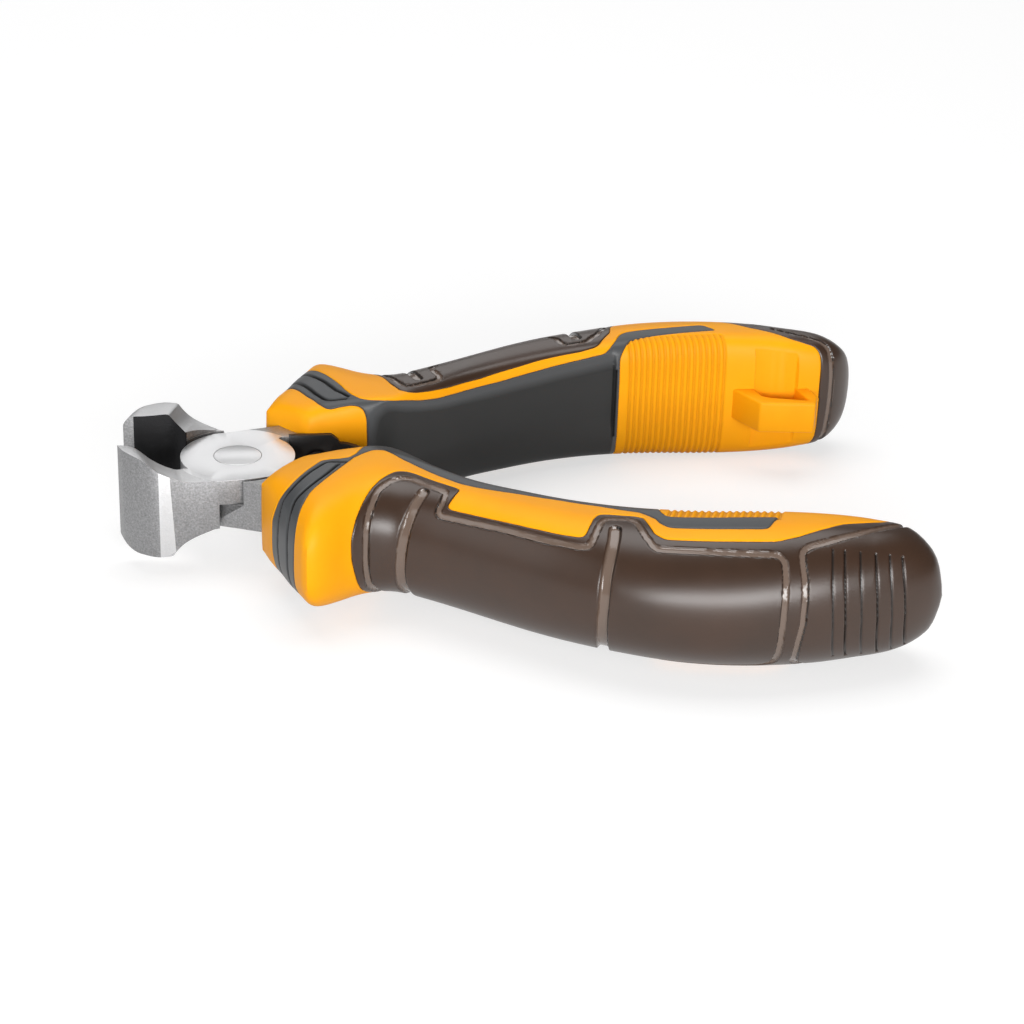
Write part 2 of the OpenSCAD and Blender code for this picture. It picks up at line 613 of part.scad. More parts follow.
module core_form(with_loop) {
    difference() {
        core_shell();
        translate([0, 0, -tang_half - tang_fit])
            linear_extrude(2 * (tang_half + tang_fit))
                tang_area(tang_fit);
        translate([0, 0, -cheek_thickness - tang_fit])
            linear_extrude(2 * (cheek_thickness + tang_fit))
                root_area(tang_fit);
        on_wall()
            translate([0, 0, -leaf_rivet_length])
                cylinder(r = leaf_rivet_radius + rivet_fit, h = 2 * leaf_rivet_length);
        pad_grooves();
        if (with_loop)
            translate([0, 0, -grip_height])
                linear_extrude(2 * grip_height)
                    channel_area();
    }
    if (with_loop)
        translate([0, 0, -loop_height / 2])
            linear_extrude(loop_height)
                loop_area();
}

module upper_place() {
    rotate([0, 0, open_half_angle])
        children();
}

module lower_place() {
    rotate([0, 0, -open_half_angle])
        rotate([180, 0, 0])
            children();
}

module upper_lever() {
    color([0.78, 0.78, 0.78])
        upper_place()
            lever_form();
}

module lower_lever() {
    color([0.72, 0.72, 0.72])
        lower_place()
            lever_form();
}

module pivot_rivet() {
    color([0.84, 0.84, 0.84])
        upper_place()
            rivet_form();
}

module upper_leaf_spring() {
    color([0.17, 0.17, 0.18])
        upper_place()
            leaf_form();
}

module lower_leaf_spring() {
    color([0.17, 0.17, 0.18])
        lower_place()
            leaf_form();
}

module upper_spring_rivet() {
    color([0.25, 0.25, 0.26])
        upper_place()
            leaf_rivet_form();
}

module lower_spring_rivet() {
    color([0.25, 0.25, 0.26])
        lower_place()
            leaf_rivet_form();
}

module far_grip_core() {
    color([0.98, 0.66, 0.13])
        upper_place()
            core_form(true);
}

module near_grip_core() {
    color([0.98, 0.66, 0.13])
        lower_place()
            core_form(false);
}

module far_outer_skin() {
    color([0.3, 0.23, 0.19])
        upper_place()
            skin_shell(outer_rows, true);
}

module near_outer_skin() {
    color([0.3, 0.23, 0.19])
        lower_place()
            skin_shell(outer_rows, true);
}

module far_inner_skin() {
    color([0.28, 0.29, 0.3])
        upper_place()
            skin_shell(inner_rows, false);
}

module near_inner_skin() {
    color([0.28, 0.29, 0.3])
        lower_place()
            skin_shell(inner_rows, false);
}

upper_lever();
lower_lever();
pivot_rivet();
upper_leaf_spring();
lower_leaf_spring();
upper_spring_rivet();
lower_spring_rivet();
far_grip_core();
near_grip_core();
far_outer_skin();
near_outer_skin();
far_inner_skin();
near_inner_skin();
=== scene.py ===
"""Looks of the end cutting nippers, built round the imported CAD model.

Every piece is modelled in the closed tool's millimetres, as the CAD source is, and then turned
open and scaled to metres by its half of the tool.
"""

import logging
import math
from dataclasses import dataclass
from enum import Enum
from typing import Callable, Sequence

import bmesh
import bpy
import numpy as np
from mathutils import Matrix, Vector
from mathutils.kdtree import KDTree

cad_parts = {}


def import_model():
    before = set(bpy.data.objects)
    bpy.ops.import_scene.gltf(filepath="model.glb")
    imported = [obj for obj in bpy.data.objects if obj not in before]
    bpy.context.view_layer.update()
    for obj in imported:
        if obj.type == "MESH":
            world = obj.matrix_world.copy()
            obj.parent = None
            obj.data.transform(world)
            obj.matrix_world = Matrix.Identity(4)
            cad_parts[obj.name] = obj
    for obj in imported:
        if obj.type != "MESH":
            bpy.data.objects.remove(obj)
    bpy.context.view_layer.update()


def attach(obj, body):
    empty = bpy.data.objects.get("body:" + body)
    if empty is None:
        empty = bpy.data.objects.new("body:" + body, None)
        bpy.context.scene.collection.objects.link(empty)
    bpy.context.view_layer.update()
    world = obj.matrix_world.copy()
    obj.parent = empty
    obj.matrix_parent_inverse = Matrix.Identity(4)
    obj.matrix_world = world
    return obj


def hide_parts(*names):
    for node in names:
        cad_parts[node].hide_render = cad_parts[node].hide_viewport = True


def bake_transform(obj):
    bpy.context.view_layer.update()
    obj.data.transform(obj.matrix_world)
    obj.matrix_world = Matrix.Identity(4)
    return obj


LOG = logging.getLogger("nippers")
MM = 0.001
OPEN_HALF_ANGLE = 16.7
FULL_TURN = 360.0
HALF_TURN = 180.0
FAR_AWAY = 99.0  # a distance in millimetres for what isn't measured
TRACE_STEP = 0.1
LEAF_THICKNESS = 0.7
ROUND_TO_MM = 0.157  # millimetres of skin for one degree round the grip, for even sampling

Pairs = Sequence[tuple[float, float]]
Limit = Callable[[np.ndarray], np.ndarray]
Triple = tuple[float, float, float]


class Half(Enum):
    """The two halves of the tool, named as the bodies of the CAD model."""

    FAR = "far_half"
    NEAR = "near_half"

    def placed(self, points: np.ndarray) -> np.ndarray:
        """Turns points of the closed tool open and scales them to metres.

        Args:
            points: Rows of x, y and z in millimetres.

        Returns:
            Rows of x, y and z in metres, in the frame of the CAD model.
        """
        flip = 1.0 if self is Half.FAR else -1.0
        turn = math.radians(OPEN_HALF_ANGLE) * flip
        x, y, z = points[:, 0], points[:, 1] * flip, points[:, 2] * flip
        c, s = math.cos(turn), math.sin(turn)
        return np.stack([x * c - y * s, x * s + y * c, z], axis=1) * MM


def smoothstep(value: np.ndarray, low: float, high: float) -> np.ndarray:
    """Rises smoothly from 0 at low to 1 at high.

    Args:
        value: Numbers to map.
        low: Value at which the result leaves 0.
        high: Value at which the result reaches 1.

    Returns:
        The mapped numbers.
    """
    t = np.clip((value - low) / (high - low), 0.0, 1.0)
    return t * t * (3.0 - 2.0 * t)


def hermite(
    t: np.ndarray | float, start: np.ndarray, end: np.ndarray,
    start_slope: np.ndarray, end_slope: np.ndarray,
) -> np.ndarray:
    """Value of a cubic curve with given ends and slopes.

    Args:
        t: Share of the way, from 0 to 1.
        start: Value at the start.
        end: Value at the end.
        start_slope: Slope at the start.
        end_slope: Slope at the end.

    Returns:
        The value.
    """
    return (
        start * (2 * t**3 - 3 * t**2 + 1) + start_slope * (t**3 - 2 * t**2 + t)
        + end * (3 * t**2 - 2 * t**3) + end_slope * (t**3 - t**2))


class Profile(Enum):
    """Cross section of a groove."""

    ROUND = "round"
    FLAT = "flat"
    VEE = "vee"

    def share(self, reach: np.ndarray) -> np.ndarray:
        """Share of the full depth at a share of the half width.

        Args:
            reach: Distance from the middle of the groove over its half width.

        Returns:
            Values from 0 at the edge to 1 at the middle.
        """
        r = np.clip(reach, 0.0, 1.0)
        if self is Profile.ROUND:
            return 0.5 + 0.5 * np.cos(np.pi * r)
        if self is Profile.FLAT:
            return smoothstep(1.0 - r, 0.0, 0.42)
        return (1.0 - r) * (1.0 - 0.25 * r)


def softened(values: np.ndarray, sigma: float, closed_step: float | None = None) -> np.ndarray:
    """Smooths a row of samples and keeps the ends of an open one.

    Args:
        values: The samples.
        sigma: Width of the smoothing, in samples.
        closed_step: What the row gains over one full turn, if it is a closed loop.

    Returns:
        The smoothed samples.
    """
    reach = max(1, min(int(3 * sigma), len(values) - 1))
    kernel = np.exp(-0.5 * (np.arange(-reach, reach + 1) / sigma) ** 2)
    kernel /= kernel.sum()
    if closed_step is None:
        before = 2 * values[0] - values[reach:0:-1]
        after = 2 * values[-1] - values[-2 : -reach - 2 : -1]
    else:
        before = values[-reach:] - closed_step
        after = values[:reach] + closed_step
    return np.convolve(np.concatenate([before, values, after]), kernel, mode="valid")


@dataclass(frozen=True)
class GripForm:
    """Form of one grip: the stations of the CAD source, joined by smooth curves.

    Lengths are in millimetres. Shares run from the mouth of the collar to the rounded end.
    """

    start: float = 7.0
    length: float = 90.7
    bow: float = 9.7
    reach: float = 24.7
    height: float = 19.6
    crown_inset: float = 5.2
    crown_share: float = 0.42
    stations: tuple[float, ...] = (
        0, 0.009, 0.023, 0.042, 0.067, 0.095, 0.117, 0.139, 0.161, 0.183, 0.211, 0.249,
        0.315, 0.393, 0.481, 0.569, 0.657, 0.745, 0.833, 0.9, 0.944, 0.976, 0.994, 1)
    inner_line: tuple[float, ...] = (
        1.05, 0.89, 0.64, 0.35, 0.312, 0.23, 0.19, 0.125, 0.095, 0.125, 0.24, 0.41,
        0.68, 0.86, 0.99, 1, 0.92, 0.73, 0.505, 0.33, 0.3, 0.43, 0.6, 0.71)
    outer_line: tuple[float, ...] = (
        0.441, 0.494, 0.567, 0.66, 0.785, 0.907, 0.988, 0.923, 0.794, 0.713, 0.664,
        0.672, 0.737, 0.826, 0.927, 0.996, 1, 0.931, 0.789, 0.644, 0.534, 0.441, 0.368,
        0.324)
    half_height: tuple[float, ...] = (
        0.51, 0.602, 0.684, 0.735, 0.796, 0.847, 0.878, 0.898, 0.908, 0.898, 0.888,
        0.878, 0.878, 0.898, 0.918, 0.939, 0.98, 1, 0.98, 0.91, 0.835, 0.65, 0.42,
        0.16)
    inner_round: tuple[float, ...] = (
        2.5, 3, 4, 5, 5.5, 6, 7, 8, 8, 8, 7, 5.5, 5, 5, 5, 5, 5, 5, 4.5, 4, 3.5, 3, 2.4,
        2.2)
    outer_round: tuple[float, ...] = (
        2.5, 2.8, 3, 3, 3, 3, 3, 2.7, 2.5, 2.4, 2.2, 2.1, 2, 2, 2, 2, 2, 2, 2, 2, 2, 2,
        2, 2)
    samples: int = 1401

    @property
    def end(self) -> float:
        """Place of the rounded end along the tool."""
        return self.start + self.length

    def curve(self, table: Sequence[float], share: np.ndarray) -> np.ndarray:
        """Value of a table of stations at shares along the grip.

        Args:
            table: One value for each station.
            share: Shares along the grip.

        Returns:
            The values of the smooth curve through the table.
        """
        xs, ys = np.array(self.stations), np.array(table, dtype=float)
        count = len(xs)
        low, high = np.maximum(np.arange(count) - 1, 0), np.minimum(np.arange(count) + 1, count - 1)
        slope = (ys[high] - ys[low]) / (xs[high] - xs[low])
        i = np.clip(np.searchsorted(xs, share, side="right") - 1, 0, count - 2)
        w = xs[i + 1] - xs[i]
        t = np.clip((share - xs[i]) / w, 0.0, 1.0)
        return hermite(t, ys[i], ys[i + 1], slope[i] * w, slope[i + 1] * w)


class GripSurface:
    """The skin of a grip as a map from place along it and angle round it to a point."""

    SOFT_SIGMA = 5.0

    def __init__(self, form: GripForm) -> None:
        """Samples the form finely and softens its curves.

        Args:
            form: The stations and sizes of the grip.
        """
        self.form = form
        self.shares = np.linspace(0.0, 1.0, form.samples)
        inner = self._row(form.inner_line) * form.bow
        outer = self._row(form.outer_line) * form.reach
        inset = softened(np.minimum(form.crown_inset, (outer - inner) * form.crown_share), 4.0)
        self.inner, self.outer, self.inset = inner, outer, inset
        self.half = self._row(form.half_height) * form.height / 2
        self.inner_round = self._row(form.inner_round)
        self.outer_round = self._row(form.outer_round)

    def _row(self, table: Sequence[float]) -> np.ndarray:
        """One finely sampled and softened curve of the form."""
        return softened(self.form.curve(table, self.shares), self.SOFT_SIGMA)

    def _value(self, row: np.ndarray, x: np.ndarray) -> np.ndarray:
        """A curve of the form at places along the tool."""
        return np.interp((x - self.form.start) / self.form.length, self.shares, row)

    def inner_at(self, x: np.ndarray) -> np.ndarray:
        """Inner line of the grip at places along the tool."""
        return self._value(self.inner, x)

    def at(self, x: np.ndarray, phi: np.ndarray) -> np.ndarray:
        """Points of the skin.

        Args:
            x: Places along the closed tool, in millimetres.
            phi: Angles round the grip from its outer side, in degrees.

        Returns:
            Rows of x, y and z in millimetres.
        """
        a = np.radians(phi)
        c, s = np.cos(a), np.sin(a)
        inset = self._value(self.inset, x)
        crown = self.inner_at(x) + inset
        wide = np.where(c >= 0, self._value(self.outer, x) - crown, inset)
        n = np.where(c >= 0, self._value(self.outer_round, x), self._value(self.inner_round, x))
        r = (np.abs(c) ** n + np.abs(s) ** n) ** (-1.0 / n)
        return np.stack([x, crown + wide * r * c, self._value(self.half, x) * r * s], axis=1)

    def normal(self, x: np.ndarray, phi: np.ndarray) -> np.ndarray:
        """Outward unit normals of the skin.

        Args:
            x: Places along the closed tool, in millimetres.
            phi: Angles round the grip, in degrees.

        Returns:
            Rows of unit vectors.
        """
        step, turn = 0.04, 0.6
        low, high = np.maximum(x - step, self.form.start), np.minimum(x + step, self.form.end)
        along = self.at(high, phi) - self.at(low, phi)
        round_ = self.at(x, phi + turn) - self.at(x, phi - turn)
        n = np.cross(round_, along)
        size = np.linalg.norm(n, axis=1, keepdims=True)
        return n / np.maximum(size, 1e-9)


class Trace:
    """A smooth line on the skin of the grip, through places and angles."""

    def __init__(
        self, surface: GripSurface, points: Pairs, soft: float = 0.35, closed: bool = False,
        gain: float = 0.0,
    ) -> None:
        """Samples the line evenly and rounds its corners.

        Args:
            surface: Skin that carries the line.
            points: Places along the tool and angles round the grip.
            soft: How far the corners are rounded, in millimetres.
            closed: Whether the line is a loop.
            gain: What the angle gains over one turn of a loop.
        """
        pts = np.array(points, dtype=float)
        if closed:
            pts = np.vstack([pts, pts[0] + [0.0, gain]])
        steps = np.hypot(np.diff(pts[:, 0]), np.diff(pts[:, 1]) * ROUND_TO_MM)
        length = np.concatenate([[0.0], np.cumsum(steps)])
        count = max(8, int(length[-1] / TRACE_STEP))
        u = np.linspace(0.0, length[-1], count + 1)
        if closed:
            u = u[:-1]
        x, phi = np.interp(u, length, pts[:, 0]), np.interp(u, length, pts[:, 1])
        sigma = soft / TRACE_STEP
        self.x = softened(x, sigma, 0.0 if closed else None)
        self.phi = softened(phi, sigma, gain if closed else None)
        self.closed = closed
        self.points = surface.at(self.x, self.phi)
        self.tree = KDTree(len(self.x))
        for i, p in enumerate(self.points):
            self.tree.insert(p, i)
        self.tree.balance()

    def distance(self, points: np.ndarray, near: np.ndarray) -> np.ndarray:
        """Distance of points from the line.

        Args:
            points: Rows of x, y and z in millimetres.
            near: Which of them are worth measuring.

        Returns:
            Distances in millimetres, large for the others.
        """
        result = np.full(len(points), FAR_AWAY)
        chosen = np.nonzero(near)[0]
        if not len(chosen):
            return result
        index = np.array([self.tree.find(points[i])[1] for i in chosen])
        p = points[chosen]
        best = np.full(len(chosen), FAR_AWAY)
        count = len(self.points)
        for shift in (-1, 0):
            first, second = index + shift, index + shift + 1
            if self.closed:
                first, second = first % count, second % count
            else:
                first, second = np.clip(first, 0, count - 1), np.clip(second, 0, count - 1)
            a, b = self.points[first], self.points[second]
            ab = b - a
            size = np.maximum((ab * ab).sum(axis=1), 1e-12)
            t = np.clip(((p - a) * ab).sum(axis=1) / size, 0.0, 1.0)
            best = np.minimum(best, np.linalg.norm(p - a - ab * t[:, None], axis=1))
        result[chosen] = best
        return result


@dataclass
class Groove:
    """A groove along a line of the skin."""

    line: Trace
    width: float
    depth: float
    profile: Profile = Profile.ROUND
    # gloss lowers the roughness of the floor and also paints it a lighter colour, as a painted
    # highlight
    gloss: float = 0.0
    fine: bool = False
    # dark: share of painted shade in the groove
    dark: float = 0.0

    def inner_side(self, net: "Net", points: np.ndarray, close: np.ndarray) -> np.ndarray:
        """Which corners of the net lie on the side of the groove that is in its own shade.

        Args:
            net: The net over the skin.
            points: Its points.
            close: Which of them lie near the groove.

        Returns:
            1 on the shaded side, inside a loop or towards the rounded end, or else 0.
        """
        line = self.line
        if line.closed and abs(line.phi[-1] - line.phi[0]) < HALF_TURN:
            phi = (net.phi + HALF_TURN) % FULL_TURN - HALF_TURN
            return inside_loop(net.x, phi, line.x, line.phi).astype(float)
        side = np.zeros(len(points))
        for i in np.nonzero(close)[0]:
            side[i] = float(points[i, 0] > line.x[line.tree.find(points[i])[1]])
        return side


class Net:
    """Triangles over the skin of the grip, in place and angle, finer near its details."""

    def __init__(self, surface: GripSurface, x: np.ndarray, phi: np.ndarray) -> None:
        """Lays a plain net of rows and columns over the skin.

        Args:
            surface: Skin to cover.
            x: Places of the rows, in millimetres.
            phi: Angles of the columns, in degrees.
        """
        self.surface = surface
        rows, columns = len(x), len(phi)
        self.x = np.repeat(x, columns)
        self.phi = np.tile(phi, rows)
        i, k = np.meshgrid(np.arange(rows - 1), np.arange(columns), indexing="ij")
        a = (i * columns + k).ravel()
        b = (i * columns + (k + 1) % columns).ravel()
        c, d = a + columns, b + columns
        odd = ((i + k) % 2 == 1).ravel()[:, None]
        first = np.where(odd, np.stack([a, b, c], 1), np.stack([a, b, d], 1))
        second = np.where(odd, np.stack([b, d, c], 1), np.stack([a, d, c], 1))
        self.tris = np.concatenate([first, second])

    @property
    def points(self) -> np.ndarray:
        """Points of the plain skin at the corners of the net."""
        return self.surface.at(self.x, self.phi)

    def _turn(self, first: np.ndarray, second: np.ndarray) -> np.ndarray:
        """Turn from each first corner to its second one, by the short way round."""
        return (self.phi[second] - self.phi[first] + HALF_TURN) % FULL_TURN - HALF_TURN

    def refine(self, wanted: Limit, rounds: int = 8) -> None:
        """Splits long edges until each is as short as wanted where it lies.

        Args:
            wanted: Gives the longest edge allowed at each point.
            rounds: Most rounds of splitting.
        """
        points = self.points
        limit = wanted(points)
        for _ in range(rounds):
            t = self.tris
            ends = np.concatenate([t[:, [0, 1]], t[:, [1, 2]], t[:, [2, 0]]])
            ends.sort(axis=1)
            edges, index = np.unique(ends, axis=0, return_inverse=True)
            index = index.reshape(3, -1).T
            size = np.linalg.norm(points[edges[:, 0]] - points[edges[:, 1]], axis=1)
            mark = size > np.minimum(limit[edges[:, 0]], limit[edges[:, 1]])
            if not mark.any():
                break
            longest = index[np.arange(len(t)), size[index].argmax(axis=1)]
            while True:
                need = mark[index].any(axis=1) & ~mark[longest]
                if not need.any():
                    break
                mark[longest[need]] = True
            points, limit = self._split(edges, index, size, mark, points, limit, wanted)

    def _split(
        self, edges: np.ndarray, index: np.ndarray, size: np.ndarray, mark: np.ndarray,
        points: np.ndarray, limit: np.ndarray, wanted: Limit,
    ) -> tuple[np.ndarray, np.ndarray]:
        """Splits the marked edges and the triangles on them.

        Args:
            edges: Pairs of corners.
            index: The three edges of each triangle.
            size: Length of each edge.
            mark: Which edges are split.
            points: Points of the corners.
            limit: Longest edge allowed at each corner.
            wanted: Gives the longest edge allowed at each point.

        Returns:
            The points and limits with those of the new corners added.
        """
        first, second = edges[mark, 0], edges[mark, 1]
        middle = np.full(len(edges), -1)
        middle[mark] = len(self.x) + np.arange(mark.sum())
        new_x = (self.x[first] + self.x[second]) / 2
        new_phi = (self.phi[first] + self._turn(first, second) / 2) % FULL_TURN
        self.x = np.concatenate([self.x, new_x])
        self.phi = np.concatenate([self.phi, new_phi])
        new_points = self.surface.at(new_x, new_phi)
        lead = size[index].argmax(axis=1)
        pick = np.arange(len(self.tris))
        v = [self.tris[pick, (lead + k) % 3] for k in range(3)]
        m = [middle[index[pick, (lead + k) % 3]] for k in range(3)]
        has = [k >= 0 for k in m]
        parts = []

        def add(which: np.ndarray, *faces: tuple[np.ndarray, ...]) -> None:
            """Adds the faces of one pattern of split edges."""
            for face in faces:
                parts.append(np.stack([f[which] for f in face], axis=1))

        add(~has[0], tuple(v))
        only = has[0] & ~has[1] & ~has[2]
        add(only, (v[0], m[0], v[2]), (m[0], v[1], v[2]))
        both = has[0] & has[1] & ~has[2]
        add(both, (v[0], m[0], v[2]), (m[0], v[1], m[1]), (m[0], m[1], v[2]))
        other = has[0] & ~has[1] & has[2]
        add(other, (v[0], m[0], m[2]), (m[0], v[1], v[2]), (m[0], v[2], m[2]))
        full = has[0] & has[1] & has[2]
        add(full, (v[0], m[0], m[2]), (m[0], v[1], m[1]), (m[2], m[1], v[2]), (m[0], m[1], m[2]))
        self.tris = np.concatenate(parts)
        return np.concatenate([points, new_points]), np.concatenate([limit, wanted(new_points)])

    def cut(
        self, fields: dict[str, np.ndarray], name: str, level: float, tris: np.ndarray,
    ) -> tuple[np.ndarray, np.ndarray]:
        """Cuts triangles along the line where a field has one value.

        Args:
            fields: Values at the corners of the net. They grow with the new corners.
            name: The field that cuts.
            level: Its value on the cut.
            tris: The triangles to cut.

        Returns:
            The triangles where the field is above the level, and those where it is below.
        """
        nudge = 1e-5  # keeps the cut off the corners
        f = fields[name] - level
        f = np.where(np.abs(f) < nudge, nudge, f)
        above = f[tris] > 0
        count = above.sum(axis=1)
        mixed = tris[(count == 1) | (count == 2)]
        up = f[mixed] > 0
        single = np.where(up.sum(axis=1) == 1, up.argmax(axis=1), (~up).argmax(axis=1))
        pick = np.arange(len(mixed))
        v = [mixed[pick, (single + k) % 3] for k in range(3)]
        ends = np.concatenate([np.stack([v[0], v[1]], 1), np.stack([v[0], v[2]], 1)])
        key = np.sort(ends, axis=1)
        edges, index = np.unique(key, axis=0, return_inverse=True)
        index = index.reshape(-1)
        a, b = edges[:, 0], edges[:, 1]
        t = f[a] / (f[a] - f[b])
        base = len(self.x)
        new_phi = (self.phi[a] + self._turn(a, b) * t) % FULL_TURN
        self.x = np.concatenate([self.x, self.x[a] + (self.x[b] - self.x[a]) * t])
        self.phi = np.concatenate([self.phi, new_phi])
        for other, values in fields.items():
            mixed_in = values[a] + (values[b] - values[a]) * t
            if other == name:
                mixed_in = np.full(len(t), level)
            fields[other] = np.concatenate([values, mixed_in])
        m1, m2 = base + index[: len(mixed)], base + index[len(mixed) :]
        lone = np.stack([v[0], m1, m2], axis=1)
        pair = np.concatenate([np.stack([m1, v[1], v[2]], 1), np.stack([m1, v[2], m2], 1)])
        high = up[pick, single]
        high2 = np.concatenate([high, high])
        over = np.concatenate([tris[count == 3], lone[high], pair[~high2]])
        under = np.concatenate([tris[count == 0], lone[~high], pair[high2]])
        return over, under


def inside_loop(
    x: np.ndarray, phi: np.ndarray, loop_x: np.ndarray, loop_phi: np.ndarray,
) -> np.ndarray:
    """Whether places and angles lie inside a closed line.

    Args:
        x: Places.
        phi: Angles.
        loop_x: Places of the closed line.
        loop_phi: Angles of the closed line.

    Returns:
        True where a place and its angle lie inside.
    """
    inside = np.zeros(len(x), dtype=bool)
    for ax, ay, bx, by in zip(loop_x, loop_phi, np.roll(loop_x, -1), np.roll(loop_phi, -1)):
        if ay == by:
            continue
        crosses = (ay > phi) != (by > phi)
        if crosses.any():
            inside[crosses] ^= x[crosses] < (bx - ax) * (phi[crosses] - ay) / (by - ay) + ax
    return inside


@dataclass
class Region:
    """A part of the skin inside closed or open border lines.

    The angle is cut where the region has no border: at seam - 180 and seam + 180.
    """

    borders: list[Trace]
    outline: tuple[np.ndarray, np.ndarray]
    seam: float

    def field(self, net: Net, points: np.ndarray, near: np.ndarray) -> np.ndarray:
        """Signed distance from the border, positive inside.

        Args:
            net: The net over the skin.
            points: Its points.
            near: Which of them lie near a detail.

        Returns:
            One distance for each corner of the net.
        """
        size = np.full(len(points), FAR_AWAY)
        for border in self.borders:
            size = np.minimum(size, border.distance(points, near))
        low = self.seam - HALF_TURN
        phi = (net.phi - low) % FULL_TURN + low
        inside = inside_loop(net.x, phi, *self.outline)
        return np.where(inside, size, -size)


